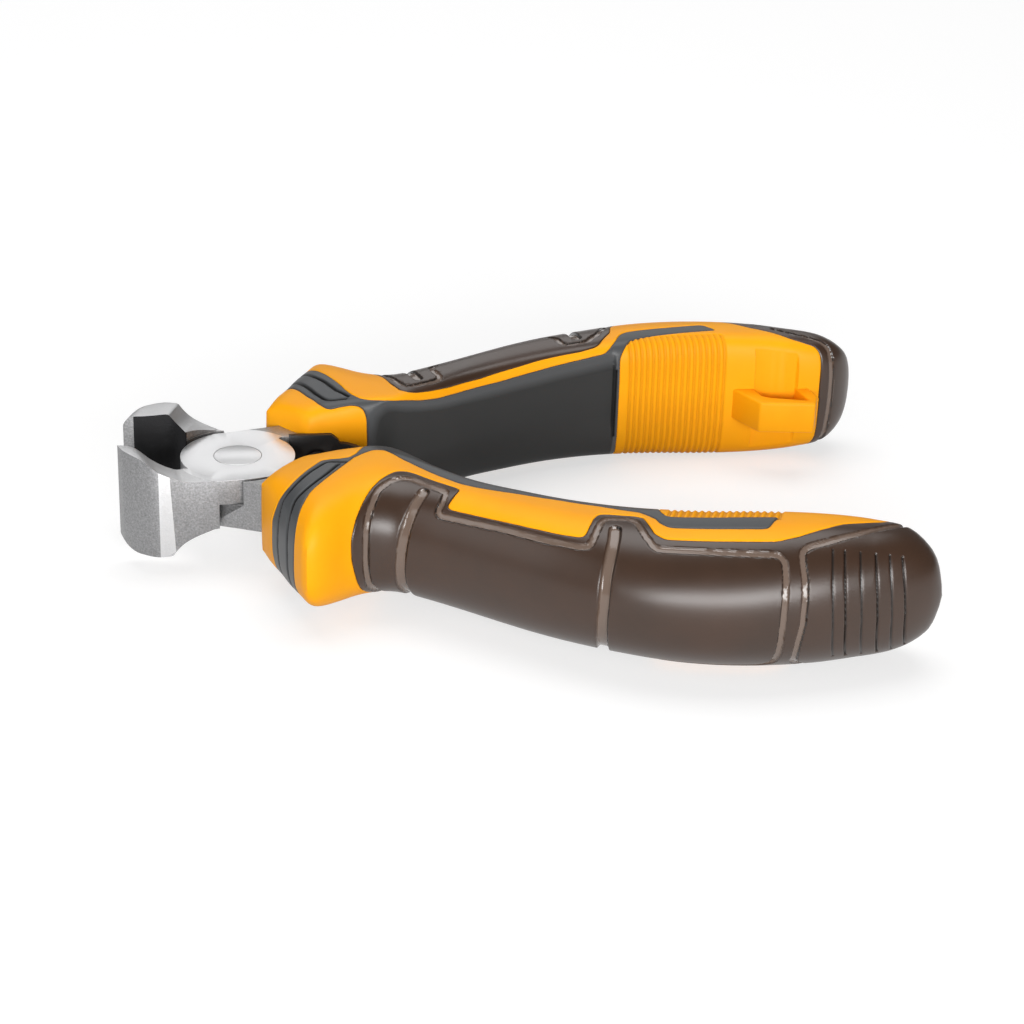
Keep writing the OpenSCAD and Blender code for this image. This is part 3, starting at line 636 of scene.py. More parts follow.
@dataclass(eq=False)
class GripPattern:
    """Borders and grooves of a grip, as places along the tool and angles round it.

    An angle is above zero on the plain side of the grip and below zero on the marked side. The
    tables are in millimetres and degrees, and shift moves them onto the CAD model's place.
    """

    surface: GripSurface
    shift: float = 0.6
    outer_border: Pairs = (
        (90.1, 180), (90.1, 165), (90.2, 146), (90.1, 137), (89.5, 129), (86.1, 120),
        (83.8, 105), (80.3, 85), (77.8, 67), (76, 64), (69.5, 64), (63, 64), (61.8, 72),
        (60.8, 86), (59.5, 101), (57.7, 122), (56.7, 127), (54.3, 130), (51, 131),
        (47.7, 132), (44.3, 134), (41, 135), (37.6, 136.5), (32.4, 136), (28.9, 133.5),
        (26.5, 131), (25.2, 127), (24.2, 118), (23.6, 89), (23.4, 74), (22.7, 58), (22.1, 41),
        (21.8, 17), (21.5, 1), (21.4, -17), (21.6, -32), (21.9, -43), (22.3, -54),
        (22.9, -63), (23.6, -70), (24.5, -78), (25.7, -83), (27.2, -85.5), (33.6, -85.5),
        (34.1, -83.5), (33.9, -77), (33.1, -56), (33.4, -54), (36.4, -55), (40.7, -56),
        (46.3, -57), (49.1, -57), (51.9, -58), (52.4, -61), (52.6, -70), (52.8, -82),
        (53.2, -89), (54.3, -93), (57.8, -95), (58.8, -92), (59.4, -87), (61.1, -71),
        (62.6, -66), (67, -66), (76.5, -66), (79.1, -71), (82.5, -83), (86, -99),
        (88.6, -112), (89.9, -126), (90.2, -140), (90.2, -180))
    band_front: Pairs = (
        (9.1, -3), (9.1, 21), (9.6, 45), (10.8, 62), (11.3, 77), (11.9, 100), (12.4, 122),
        (13, 131), (13.7, 133.5), (15, 132.5), (16.4, 133), (17.4, 135), (18, 138),
        (18.4, 144), (18.5, 160), (18.5, 195), (18.4, 215), (18.2, 235), (17.9, 255),
        (17.4, 266), (16.2, 268), (13.9, 266), (12.7, 281), (11.5, 302), (10.3, 320),
        (9.2, 344), (9.1, 363))
    inner_back: Pairs = (
        (14.3, 363), (14.4, 340), (14.5, 317), (15, 303), (16.5, 287), (17.8, 273),
        (18.8, 257), (19.8, 246), (21.5, 243.5), (24.4, 252), (27.3, 255), (30.5, 258),
        (33.7, 260.5), (36.5, 257.5), (42, 249), (47.5, 244), (52.9, 245), (58.3, 252),
        (59.7, 262), (61.3, 276), (62.6, 281), (63.6, 281.5), (74.7, 281), (75.1, 279.5),
        (75.9, 259), (75.5, 257), (63, 261), (61.9, 259), (60.9, 247), (60.4, 235),
        (60.3, 215), (60.3, 180), (60.3, 142), (60.7, 137), (61.6, 129), (62.5, 122),
        (64.1, 119.5), (67.2, 117), (73.4, 109.5), (75.5, 106.5), (75.9, 104), (75, 87.5),
        (74.4, 86), (71.2, 88.5), (65.1, 92.5), (62.8, 94.5), (61.7, 101), (60.2, 120),
        (58.9, 131), (58, 135.5), (54, 138), (47.5, 141), (40.8, 143), (34, 143),
        (30.5, 142), (27, 139), (23.5, 134), (19.2, 129), (18, 125), (17.3, 112),
        (16.8, 84), (16, 68), (15.5, 59), (14.9, 46), (14.3, 28), (14.3, -3))
    inset_line: Pairs = (
        (78.4, 20), (78.6, 3), (78.6, -19), (78.4, -34), (77.9, -48), (76.9, -54),
        (67.3, -56.5), (61.9, -56.5), (61.3, -59), (59.9, -69), (58.4, -83), (57.4, -86.5),
        (54.6, -84), (53.9, -78), (53.6, -60), (53.3, -51), (52, -49), (46.6, -48),
        (40.9, -48), (35.2, -46), (32.2, -44.5), (31.9, -49), (32.3, -60), (32.4, -73.5),
        (27.2, -75), (25.8, -72), (24.4, -65), (23.3, -55), (22.9, -31), (23, -10), (23, 4),
        (23.1, 33), (23.5, 49), (24.4, 76), (25, 98), (25.5, 113), (26.4, 116.5),
        (29.4, 121), (30.8, 122), (31.3, 119), (31.3, 100), (31, 88), (31.4, 78), (33, 71),
        (42, 70), (50, 71), (51.6, 76), (52.3, 86), (52.4, 105), (52.9, 113), (55, 112),
        (56.4, 109), (57.7, 95), (59, 86), (60, 78), (61.6, 63), (63.4, 56), (69, 55),
        (75.6, 53), (77.4, 45), (78.1, 32))
    flute_front: Pairs = (
        (29.3, -63), (28.6, -48), (27.8, -24), (27.4, -5), (27.2, 15), (27.2, 35), (27.6, 53),
        (27.9, 75), (28.1, 99))
    flute_middle: Pairs = (
        (56, -71), (56.2, -61), (56.2, -43), (56.1, -27), (56.1, -11), (55.8, 41), (55.4, 70),
        (55.2, 90))
    end_loop: Pairs = (
        (81, 2), (80.5, 21), (79.9, 46), (80.6, 62), (84, 84), (87.7, 103), (91, 120),
        (91.8, 130), (92.1, 155), (92.1, 184), (91.9, 207), (91.7, 234), (91, 249),
        (88.6, 271), (86.3, 283), (82.9, 294), (80.6, 299), (79.8, 303), (80, 311),
        (80.7, 327), (81, 342))
    band_lines: tuple[Pairs, Pairs] = (
        ((17.3, -86), (14.6, -88), (13.3, -76), (12.1, -57), (11.1, -43), (10.7, -23),
         (10.5, 6), (10.8, 30), (11.9, 59), (12.4, 73), (12.9, 89), (13.4, 112), (14, 118.5),
         (15.3, 119.5), (16.2, 121)),
        ((16.6, -84), (15.8, -73), (14.4, -60), (13.2, -48), (12.9, -33), (12.8, -7),
         (12.9, 20), (13.5, 45), (14.3, 63), (15.1, 76), (16, 96), (16.7, 116)))
    land_edge: Pairs = (
        (18.6, 180), (18.8, 158), (19.3, 143), (21.2, 136), (22.6, 137), (26.9, 143),
        (30.4, 147), (34, 149), (40.8, 149), (47.5, 148), (54, 145), (58.6, 141.5),
        (59.6, 141.5))
    chamfer_edge: Pairs = (
        (19.7, 180), (19.9, 160), (20.4, 148), (21.8, 143), (23, 143), (25.1, 146.5),
        (28.6, 151), (32.3, 155), (37.5, 157), (40.8, 157), (47.5, 156), (54, 153),
        (58.6, 150.5), (59.6, 150.5))
    score_places: tuple[float, ...] = (84.6, 86.1, 88, 89.9, 91.6, 93.2)
    pad_start: float = 62.0
    pad_pitch: float = 0.87
    pad_ribs: int = 17
    inset_width: float = 1.05
    inset_depth: float = 0.32

    def __post_init__(self) -> None:
        """Lays every border and groove on the skin."""
        self.outer = self._outer_region()
        self.inner = self._inner_region()
        self.outer_grooves = self._outer_grooves()
        self.inner_grooves = self._inner_grooves()
        self.pad_grooves = self._pad_grooves()
        self.land = self._both_sides(self.land_edge)
        self.chamfer = self._both_sides(self.chamfer_edge)

    def _both_sides(self, points: Pairs) -> Trace:
        """A line over the plain side of the inner face, and nearly its mirror image beyond."""
        start, share = FULL_TURN + 12.0, 0.9
        mirrored = [(x, start - phi * share) for x, phi in points[1:]]
        return self._line(tuple(points[::-1]) + tuple(mirrored), 0.3)

    def _moved(self, points: Pairs) -> list[tuple[float, float]]:
        """Points of the pattern in the frame of the CAD model."""
        return [(x + self.shift, phi) for x, phi in points]

    def _line(
        self, points: Pairs, soft: float = 0.35, closed: bool = False, gain: float = 0.0,
    ) -> Trace:
        """A smooth line through points of the pattern."""
        return Trace(self.surface, self._moved(points), soft, closed, gain)

    def _outer_region(self) -> Region:
        """The soft skin over the outer side, with the cap over the end."""
        border = self._line(self.outer_border, 0.32)
        end = self.surface.form.end + 1.0
        x = np.concatenate([border.x, [border.x[-1], end, end, border.x[0]]])
        phi = np.concatenate([border.phi, [-HALF_TURN, -HALF_TURN, HALF_TURN, HALF_TURN]])
        return Region([border], (x, phi), 0.0)

    def _inner_region(self) -> Region:
        """The harder skin: the band round the collar, the inner face and its strips."""
        front, back = self._line(self.band_front, 0.32), self._line(self.inner_back, 0.32)
        x = np.concatenate([front.x, back.x])
        phi = np.concatenate([front.phi, back.phi])
        return Region([front, back], (x, phi), HALF_TURN)

    def _outer_grooves(self) -> list[Groove]:
        """Grooves of the outer skin: glossy flat ones with a painted highlight colour on their floors
        and painted shade on their shaded side, and the score lines on the end, with painted shade.
        """
        inset = self._line(self.inset_line, closed=True)
        end = self._line(self.end_loop, closed=True, gain=FULL_TURN)
        # The flat grooves get a painted highlight colour on their floors and painted shade on their
        # shaded side
        grooves = [
            Groove(line, width, depth, Profile.FLAT, gloss=1.0) for line, width, depth in (
                (inset, self.inset_width, self.inset_depth), (self._line(self.flute_front), 1.7, 0.42),
                (self._line(self.flute_middle), 1.8, 0.5), (end, self.inset_width, self.inset_depth))]
        for i, x in enumerate(self.score_places):
            share = i / (len(self.score_places) - 1)
            low, high = -58 + 6 * share, 44 + 16 * share
            line = self._line(((x - 1.2, low), (x - 0.3, -16), (x, 5), (x + 0.1, high)))
            deep = 0.26 if i % 2 else 0.15
            # Score lines carry painted shade
            grooves.append(Groove(line, 0.5, deep, Profile.VEE, fine=True, dark=0.8))
        return grooves

    def _inner_grooves(self) -> list[Groove]:
        """Grooves of the harder skin: two round the collar band and one at its end, with painted shade.
        """
        grooves = [
            Groove(self._line(points, 0.4), 0.8, 0.36, fine=True, dark=1.0)
            for points in self.band_lines]
        end = self._line(tuple((59.8, phi) for phi in (150, 180, 210)))
        grooves.append(Groove(end, 0.5, 0.3, Profile.VEE, fine=True, dark=1.0))
        return grooves

    def _pad_grooves(self) -> list[Groove]:
        """Grooves between the ribs of the pad inside the palm end, with painted shade."""
        grooves = []
        for i in range(self.pad_ribs):
            x = self.pad_start + i * self.pad_pitch
            line = self._line(tuple((x, phi) for phi in (121, 145, 180, 230, 262)), 0.3)
            grooves.append(Groove(line, self.pad_pitch * 0.98, 0.22, fine=True, dark=0.45))
        return grooves

    def lines_of(self, layer: str) -> list[tuple[Trace, float, bool]]:
        """The lines that the net of one layer follows.

        Args:
            layer: outer, inner or core.

        Returns:
            Each line, with its half width and whether it needs the finest net.
        """
        outer, inner = self.outer.borders, self.inner.borders
        borders = {"outer": outer, "inner": inner, "core": outer + inner}[layer]
        lines = [(line, 0.3, False) for line in borders]
        lines += [(g.line, g.width / 2 + 0.05, g.fine) for g in self.grooves_of(layer)]
        if layer == "inner":
            lines += [(self.land, 0.25, False), (self.chamfer, 0.25, False)]
        return lines

    def grooves_of(self, layer: str) -> list[Groove]:
        """The grooves of one layer."""
        return {
            "outer": self.outer_grooves, "inner": self.inner_grooves, "core": self.pad_grooves}[layer]


@dataclass(frozen=True)
class LoopSizes:
    """Sizes of the cord loop on the far grip, in millimetres, as in the CAD source."""

    start: float = 78.0
    slope: float = 1.7
    proud: float = 6.0
    bar: float = 1.7
    height: float = 4.8
    eye_start: float = 81.19
    eye_end: float = 87.2
    root_end: float = 89.1
    drop: float = 0.7
    floor: float = 0.6
    edge: float = 0.35


def triangle_object(name: str, points: np.ndarray, tris: np.ndarray) -> bpy.types.Object:
    """Makes an object of many triangles quickly.

    Args:
        name: Name of the object.
        points: Rows of x, y and z in metres.
        tris: Rows of three corner numbers.

    Returns:
        The object, at the origin.
    """
    mesh = bpy.data.meshes.new(name)
    mesh.vertices.add(len(points))
    mesh.vertices.foreach_set("co", points.astype(np.float32).ravel())
    mesh.loops.add(len(tris) * 3)
    mesh.loops.foreach_set("vertex_index", tris.astype(np.int32).ravel())
    mesh.polygons.add(len(tris))
    mesh.polygons.foreach_set("loop_start", np.arange(0, len(tris) * 3, 3, dtype=np.int32))
    mesh.update(calc_edges=True)
    mesh.validate()
    obj = bpy.data.objects.new(name, mesh)
    bpy.context.scene.collection.objects.link(obj)
    return obj


def only(obj: bpy.types.Object) -> None:
    """Selects one object alone and makes it active."""
    bpy.ops.object.select_all(action="DESELECT")
    obj.select_set(True)
    bpy.context.view_layer.objects.active = obj


def apply_modifier(obj: bpy.types.Object, kind: str, **settings: object) -> None:
    """Adds a modifier with its settings and applies it.

    Args:
        obj: Object to finish.
        kind: Type of the modifier.
        **settings: Values of its properties.
    """
    only(obj)
    bpy.ops.object.modifier_add(type=kind)
    modifier = obj.modifiers[-1]
    for name, value in settings.items():
        setattr(modifier, name, value)
    bpy.ops.object.modifier_apply(modifier=modifier.name)


def settle(obj: bpy.types.Object, half: Half) -> None:
    """Turns a body of the closed tool open, in metres, with its place in its mesh.

    Args:
        obj: The body, in millimetres.
        half: Its half of the tool.
    """
    count = len(obj.data.vertices)
    flat = np.empty(count * 3, dtype=np.float32)
    obj.data.vertices.foreach_get("co", flat)
    obj.data.vertices.foreach_set("co", half.placed(flat.reshape(-1, 3)).astype(np.float32).ravel())
    obj.data.update()


def compacted(points: np.ndarray, tris: np.ndarray) -> tuple[np.ndarray, np.ndarray, np.ndarray]:
    """Drops unused points.

    Args:
        points: Rows of x, y and z.
        tris: Rows of three corner numbers.

    Returns:
        The used points, the triangles on them, and the old number of each used point.
    """
    used, index = np.unique(tris, return_inverse=True)
    return points[used], index.reshape(tris.shape), used


@dataclass
class Shell:
    """A closed layer of a grip in the closed tool's millimetres, with values at its points."""

    points: np.ndarray
    tris: np.ndarray
    # gloss: the groove gloss with its painted highlight colour, and on the grey skin painted light on
    # the land
    gloss: np.ndarray
    # dark: the painted shade of the grooves
    dark: np.ndarray

    def build(self, name: str, half: Half, budget: int) -> bpy.types.Object:
        """Makes the layer's object, thins out its flat places and places it.

        Args:
            name: Name of the piece.
            half: Half of the tool.
            budget: Most triangles.

        Returns:
            The piece.
        """
        obj = triangle_object(name, self.points, self.tris)
        # These point attributes carry the groove gloss with its painted highlight colour, and the
        # painted shade
        for key, values in (("groove_gloss_and_painted_light", self.gloss), ("groove_painted_shade", self.dark)):
            layer = obj.data.attributes.new(key, "FLOAT", "POINT")
            layer.data.foreach_set("value", values.astype(np.float32))
        if len(self.tris) > budget:
            apply_modifier(obj, "DECIMATE", ratio=budget / len(self.tris))
        settle(obj, half)
        only(obj)
        bpy.ops.object.shade_smooth_by_angle(angle=math.radians(42))
        return obj


class GripMeshes:
    """Closed meshes of the three layers of a grip, in the closed tool's millimetres."""

    SKIN = 0.95
    CORE_SINK = 1.0
    GAP = 0.015
    EDGE_WIDE = 0.22
    EDGE_DEEP = 0.12
    FINEST = 0.17
    FINE = 0.22
    COARSE = 1.2
    GROWTH = 0.6
    NEAR_LINE = 1.6
    LAND_SLOPE = 0.42
    FACE_DROP = 0.36
    OUTER_BULGE = 0.2
    INNER_BULGE = 0.1

    def __init__(
        self, surface: GripSurface, pattern: GripPattern, loop: LoopSizes, layer: str,
    ) -> None:
        """Covers the grip with a net for one layer and finds the fields that cut and shape it.

        Args:
            surface: Skin of the grip.
            pattern: Its borders and grooves.
            loop: Sizes of the cord loop, for its channel.
            layer: outer, inner or core.
        """
        self.surface, self.pattern, self.loop, self.layer = surface, pattern, loop, layer
        form = surface.form
        rows = np.unique(np.concatenate([
            np.linspace(form.start, form.start + 4, 7), np.linspace(form.start + 4, 91, 62),
            np.linspace(91, form.end - 0.6, 9), [form.end - 0.25, form.end]]))
        columns = np.unique(np.concatenate([
            np.arange(0, 120, 8.0), np.arange(120, 152, 3.2), np.arange(152, 208, 8.0),
            np.arange(208, 242, 3.4), np.arange(242, FULL_TURN - 4, 8.0)]))
        self.net = Net(surface, rows, columns)
        self._make_tree()
        self.net.refine(self._wanted)
        points = self.net.points
        near = self._reach(points)[0] < self.NEAR_LINE
        self.fields = {
            name: region.field(self.net, points, near)
            for name, region in (("outer", pattern.outer), ("inner", pattern.inner))
            if layer in (name, "core")}
        carved = self._carved(pattern.grooves_of(layer), points, near)
        self.fields["deep"], self.fields["gloss"], self.fields["dark"] = carved
        if layer == "inner":
            self.fields["slope"], self.fields["land"] = self._land_fields(points)
            # Painted light: on the grey skin, all but the inner face takes the lighter colour, standing
            # in for the lit land; the inner face keeps the dark tones
            self.fields["gloss"] = 1.0 - self.fields["land"]
        LOG.info("%s net: %d triangles", layer, len(self.net.tris))

    def _make_tree(self) -> None:
        """One search tree over all the lines of the pattern."""
        rows, self.half_width, self.is_fine = [], [], []
        for line, half, fine in self.pattern.lines_of(self.layer):
            rows.append(line.points)
            self.half_width += [half] * len(line.points)
            self.is_fine += [fine] * len(line.points)
        points = np.concatenate(rows)
        self.half_width, self.is_fine = np.array(self.half_width), np.array(self.is_fine)
        self.tree = KDTree(len(points))
        for i, p in enumerate(points):
            self.tree.insert(p, i)
        self.tree.balance()

    def _reach(self, points: np.ndarray) -> tuple[np.ndarray, np.ndarray]:
        """Distance beyond the nearest line's half width, and whether that line is fine."""
        found = [self.tree.find(p) for p in points]
        index = np.array([f[1] for f in found])
        gap = np.array([f[2] for f in found]) - self.half_width[index]
        return gap, self.is_fine[index]

    def _wanted(self, points: np.ndarray) -> np.ndarray:
        """Longest edge allowed at each point."""
        gap, fine = self._reach(points)
        base = np.where(fine, self.FINEST, self.FINE)
        wide = np.clip(base + self.GROWTH * np.maximum(gap, 0.0), 0.0, self.COARSE)
        if self.layer != "core":
            return wide
        x = points[:, 0]
        channel = np.minimum(np.abs(x - self.loop.eye_start), np.abs(x - self.loop.eye_end))
        inward = points[:, 1] < self.surface.inner_at(x) + 1.2
        return np.where(inward & (channel < 0.3), np.minimum(wide, self.FINE), wide)

    def _carved(
        self, grooves: list[Groove], points: np.ndarray, near: np.ndarray,
    ) -> tuple[np.ndarray, np.ndarray, np.ndarray]:
        """Depth of the deepest groove at each point, its gloss and its shade.

        Args:
            grooves: The grooves.
            points: Points of the net.
            near: Which of them lie near a detail.

        Returns:
            Depth, gloss of the floor with its painted highlight colour, and painted shade along the
            edge.
        """
        deep, gloss, dark = (np.zeros(len(points)) for _ in range(3))
        for groove in grooves:
            half, there = groove.width / 2, groove.line.points
            low, high = there.min(axis=0) - half, there.max(axis=0) + half
            close = near & (points >= low).all(axis=1) & (points <= high).all(axis=1)
            reach = groove.line.distance(points, close) / half
            share = groove.profile.share(reach)
            deep = np.maximum(deep, groove.depth * share)
            gloss = np.maximum(gloss, groove.gloss * smoothstep(share, 0.15, 0.75))
            # Painted shade: a darker colour along the groove
            if groove.dark:
                dark = np.maximum(dark, groove.dark * smoothstep(share, 0.1, 0.6))
            # Painted shade on the shaded side of the glossy grooves
            elif groove.gloss:
                edge = smoothstep(share, 0.0, 0.2) * (1.0 - smoothstep(share, 0.75, 1.0))
                dark = np.maximum(dark, edge * groove.inner_side(self.net, points, close))
        return deep, gloss, dark

    def _land_fields(self, points: np.ndarray) -> tuple[np.ndarray, np.ndarray]:
        """Shares of the way over the land of the inner skin, and down from it to the face."""
        near = points[:, 0] < 62.0
        signed = []
        for line in (self.pattern.land, self.pattern.chamfer):
            inside = inside_loop(self.net.x, self.net.phi, line.x, line.phi)
            size = line.distance(points, near)
            signed.append(np.where(inside, size, -size))
        from_border, to_land, down, left = (
            np.maximum(field, 0.0)
            for field in (self.fields["inner"], -signed[0], signed[0], -signed[1]))
        slope = from_border / np.maximum(from_border + to_land, 1e-6)
        return slope, down / np.maximum(down + left, 1e-6)

    def _edge_dip(self, distance: np.ndarray) -> np.ndarray:
        """Rounding of an edge, as a depth at a distance from it."""
        t = np.clip(1.0 - distance / self.EDGE_WIDE, 0.0, 1.0)
        return self.EDGE_DEEP * (1.0 - np.sqrt(1.0 - t * t))

    def _sunk(self, depth: np.ndarray) -> np.ndarray:
        """Points of the net at a depth below the plain skin."""
        net = self.net
        return net.points - self.surface.normal(net.x, net.phi) * depth[:, None]

    @staticmethod
    def _borders(tris: np.ndarray) -> np.ndarray:
        """Directed edges that only one of the triangles has."""
        directed = np.concatenate([tris[:, [0, 1]], tris[:, [1, 2]], tris[:, [2, 0]]])
        key = np.sort(directed, axis=1)
        _, index, count = np.unique(key, axis=0, return_index=True, return_counts=True)
        return directed[index[count == 1]]

    def _cap(
        self, points: list[np.ndarray], x: float, offset: int, forward: bool, bulge: float = 0.0,
    ) -> np.ndarray:
        """Closes the ring of the net at one end with a fan.

        Args:
            points: The point arrays so far. The middle of the fan is added.
            x: Place of the ring.
            offset: First number of the level whose ring is closed.
            forward: Whether the fan faces the way from the joint to the rounded end.
            bulge: How far the middle lies beyond the ring.

        Returns:
            The triangles of the fan.
        """
        ring = np.nonzero(np.abs(self.net.x - x) < 1e-9)[0]
        ring = ring[np.argsort(self.net.phi[ring])] + offset
        everything = np.concatenate(points)
        points.append(everything[ring].mean(axis=0)[None] + [bulge, 0.0, 0.0])
        following = np.roll(ring, -1)
        first, second = (ring, following) if forward else (following, ring)
        return np.stack([first, second, np.full(len(ring), len(everything))], axis=1)

    def _walls(self, tris: np.ndarray, low_offset: int) -> np.ndarray:
        """Walls from the border of the upper triangles down to the lower level."""
        edges = self._borders(tris)
        for x in (self.surface.form.start, self.surface.form.end):
            at_end = (np.abs(self.net.x[edges] - x) < 1e-9).all(axis=1)
            edges = edges[~at_end]
        a, b = edges[:, 0], edges[:, 1]
        return np.concatenate([
            np.stack([b, a, a + low_offset], 1), np.stack([b, a + low_offset, b + low_offset], 1)])

    def skin(self) -> Shell:
        """Closed mesh of one soft skin."""
        name = self.layer
        over, _ = self.net.cut(self.fields, name, self.GAP, self.net.tris)
        depth = self.fields["deep"] + self._edge_dip(self.fields[name] - self.GAP)
        if name == "inner":
            depth = depth + self._land_depth()
        low_offset = len(self.net.x)
        points = [self._sunk(depth), self._sunk(np.full(low_offset, self.SKIN))]
        parts = [over, over[:, ::-1] + low_offset, self._walls(over, low_offset)]
        if name == "outer":
            end = self.surface.form.end
            parts.append(self._cap(points, end, 0, True, self.OUTER_BULGE))
            parts.append(self._cap(points, end, low_offset, False, self.INNER_BULGE))
        return self._shell(points, parts, low_offset)

    def _shell(
        self, points: list[np.ndarray], parts: list[np.ndarray], low_offset: int,
    ) -> Shell:
        """Packs a layer, with the gloss and its painted highlight colour, and the painted shade.

        Args:
            points: Points of the upper and the lower level, and of the ends.
            parts: Triangles on them.
            low_offset: How many points the upper level has.

        Returns:
            The layer.
        """
        everything = np.concatenate(points)
        blank = np.zeros(len(everything) - low_offset)
        used_points, tris, used = compacted(everything, np.concatenate(parts))
        gloss, dark = (np.concatenate([self.fields[key], blank])[used] for key in ("gloss", "dark"))
        return Shell(used_points, tris, gloss, dark)

    def _land_depth(self) -> np.ndarray:
        """Depth of the land and the inner face under the border of the skin."""
        along = self.net.x
        there = (1.0 - smoothstep(along, 60.0, 60.4)) * smoothstep(along, 18.6, 21.5)
        there *= 1.0 - smoothstep(self.net.phi, 192.0, 228.0)
        deep = self.LAND_SLOPE * self.fields["slope"] + self.FACE_DROP * self.fields["land"]
        return deep * there

    def cores(self) -> dict[Half, Shell]:
        """Closed meshes of the bodies of both grips, sunk under the two skins.

        Returns:
            The layer of each half. The far one has the channel behind the cord loop.
        """
        net, fields = self.net, self.fields
        under_outer, rest = net.cut(fields, "outer", 0.0, net.tris)
        under_inner, top = net.cut(fields, "inner", 0.0, rest)
        low_offset = len(net.x)
        depth = fields["deep"] + self._edge_dip(-fields["outer"]) + self._edge_dip(-fields["inner"])
        plain, sunk = self._sunk(depth), self._sunk(np.full(low_offset, self.CORE_SINK))
        low = np.concatenate([under_outer, under_inner]) + low_offset
        walls, form = self._walls(top, low_offset), self.surface.form
        shells = {}
        for half, upper in ((Half.FAR, self._channelled(plain)), (Half.NEAR, plain)):
            points, parts = [upper, sunk], [top, low, walls]
            parts.append(self._cap(points, form.start, 0, False))
            parts.append(self._cap(points, form.end, low_offset, True, self.INNER_BULGE))
            shells[half] = self._shell(points, parts, low_offset)
        return shells

    def _channelled(self, points: np.ndarray) -> np.ndarray:
        """Sinks the inner face to the floor of the channel behind the cord loop."""
        loop, side = self.loop, 0.16
        x = points[:, 0]
        share = smoothstep(x, loop.eye_start - side, loop.eye_start) * (
            1.0 - smoothstep(x, loop.eye_end, loop.eye_end + side))
        floor = self.surface.inner_at(x) + loop.floor
        inward = np.abs(self.net.phi - HALF_TURN) < HALF_TURN / 2
        result = points.copy()
        result[:, 1] += np.maximum(floor - points[:, 1], 0.0) * share * inward
        return result


def prism(
    name: str, outline: Sequence[tuple[float, float]], low: float, high: float, upright: bool = False,
) -> bpy.types.Object:
    """Extrudes an outline, by operators in edit mode.

    Args:
        name: Name of the object.
        outline: Corners of the outline in order, in millimetres.
        low: Where the prism starts.
        high: Where it ends.
        upright: True to draw the outline in x and z and extrude along y.

    Returns:
        The prism, in millimetres.
    """
    bpy.ops.object.select_all(action="DESELECT")
    bpy.ops.mesh.primitive_circle_add(vertices=len(outline), radius=1.0, fill_type="NGON")
    obj = bpy.context.active_object
    obj.name = name
    for vertex, (u, v) in zip(obj.data.vertices, outline):
        vertex.co = (u, low, v) if upright else (u, v, low)
    shift = (0, high - low, 0) if upright else (0, 0, high - low)
    bpy.ops.object.mode_set(mode="EDIT")
    bpy.ops.mesh.select_all(action="SELECT")
    bpy.ops.mesh.extrude_region_move(TRANSFORM_OT_translate={"value": shift})
    bpy.ops.mesh.select_all(action="SELECT")
    bpy.ops.mesh.normals_make_consistent(inside=False)
    bpy.ops.object.mode_set(mode="OBJECT")
    return obj


def cylinder(
    radius: float, low: float, high: float, top_radius: float | None = None,
) -> bpy.types.Object:
    """A round body along z, for carving and joining.

    Args:
        radius: Radius at the low end, in millimetres.
        low: Where it starts.
        high: Where it ends.
        top_radius: Radius at the high end, if it differs.

    Returns:
        The body, in millimetres.
    """
    bpy.ops.object.select_all(action="DESELECT")
    bpy.ops.mesh.primitive_cone_add(
        vertices=128, radius1=radius, radius2=top_radius or radius, depth=high - low,
        location=(0, 0, (low + high) / 2))
    obj = bpy.context.active_object
    bpy.ops.object.transform_apply(location=True, rotation=True, scale=True)
    return obj


def combined(base: bpy.types.Object, other: bpy.types.Object, operation: str) -> bpy.types.Object:
    """Joins, intersects or carves one body with another, which is used up.

    Args:
        base: Body that stays.
        other: Body that is used.
        operation: UNION, INTERSECT or DIFFERENCE.

    Returns:
        The first body.
    """
    apply_modifier(base, "BOOLEAN", operation=operation, object=other, solver="EXACT")
    bpy.data.objects.remove(other, do_unlink=True)
    return base


def rounded(obj: bpy.types.Object, width: float, angle: float = 32.0, segments: int = 3) -> None:
    """Rounds the sharp edges of a body and shades it smoothly.

    Args:
        obj: The body, in millimetres.
        width: Width of the rounding.
        angle: Edges sharper than this are rounded, in degrees.
        segments: Faces across the rounding.
    """
    only(obj)
    bpy.ops.object.mode_set(mode="EDIT")
    bpy.ops.mesh.select_all(action="SELECT")
    bpy.ops.mesh.remove_doubles(threshold=0.002)
    bpy.ops.mesh.dissolve_limited(angle_limit=math.radians(0.2))
    bpy.ops.object.mode_set(mode="OBJECT")
    apply_modifier(
        obj, "BEVEL", width=width, segments=segments, limit_method="ANGLE",
        angle_limit=math.radians(angle), use_clamp_overlap=True, miter_outer="MITER_ARC")
    apply_modifier(obj, "TRIANGULATE", min_vertices=5)
    only(obj)
    bpy.ops.object.shade_smooth_by_angle(angle=math.radians(30))


def smooth_line(points: Sequence[tuple[float, float]], per: int = 5) -> list[tuple[float, float]]:
    """A smooth line through points, by cubic curves.

    Args:
        points: The points.
        per: Pieces between two points.

    Returns:
        The finer line.
    """
    p = np.array(points, dtype=float)
    last = len(p) - 1
    result = []
    for i in range(last):
        m0 = (p[i + 1] - p[max(i - 1, 0)]) / (2 if i else 1)
        m1 = (p[min(i + 2, last)] - p[i]) / (2 if i < last - 1 else 1)
        for k in range(per):
            result.append(tuple(hermite(k / per, p[i], p[i + 1], m0, m1)))
    result.append(tuple(p[last]))
    return result


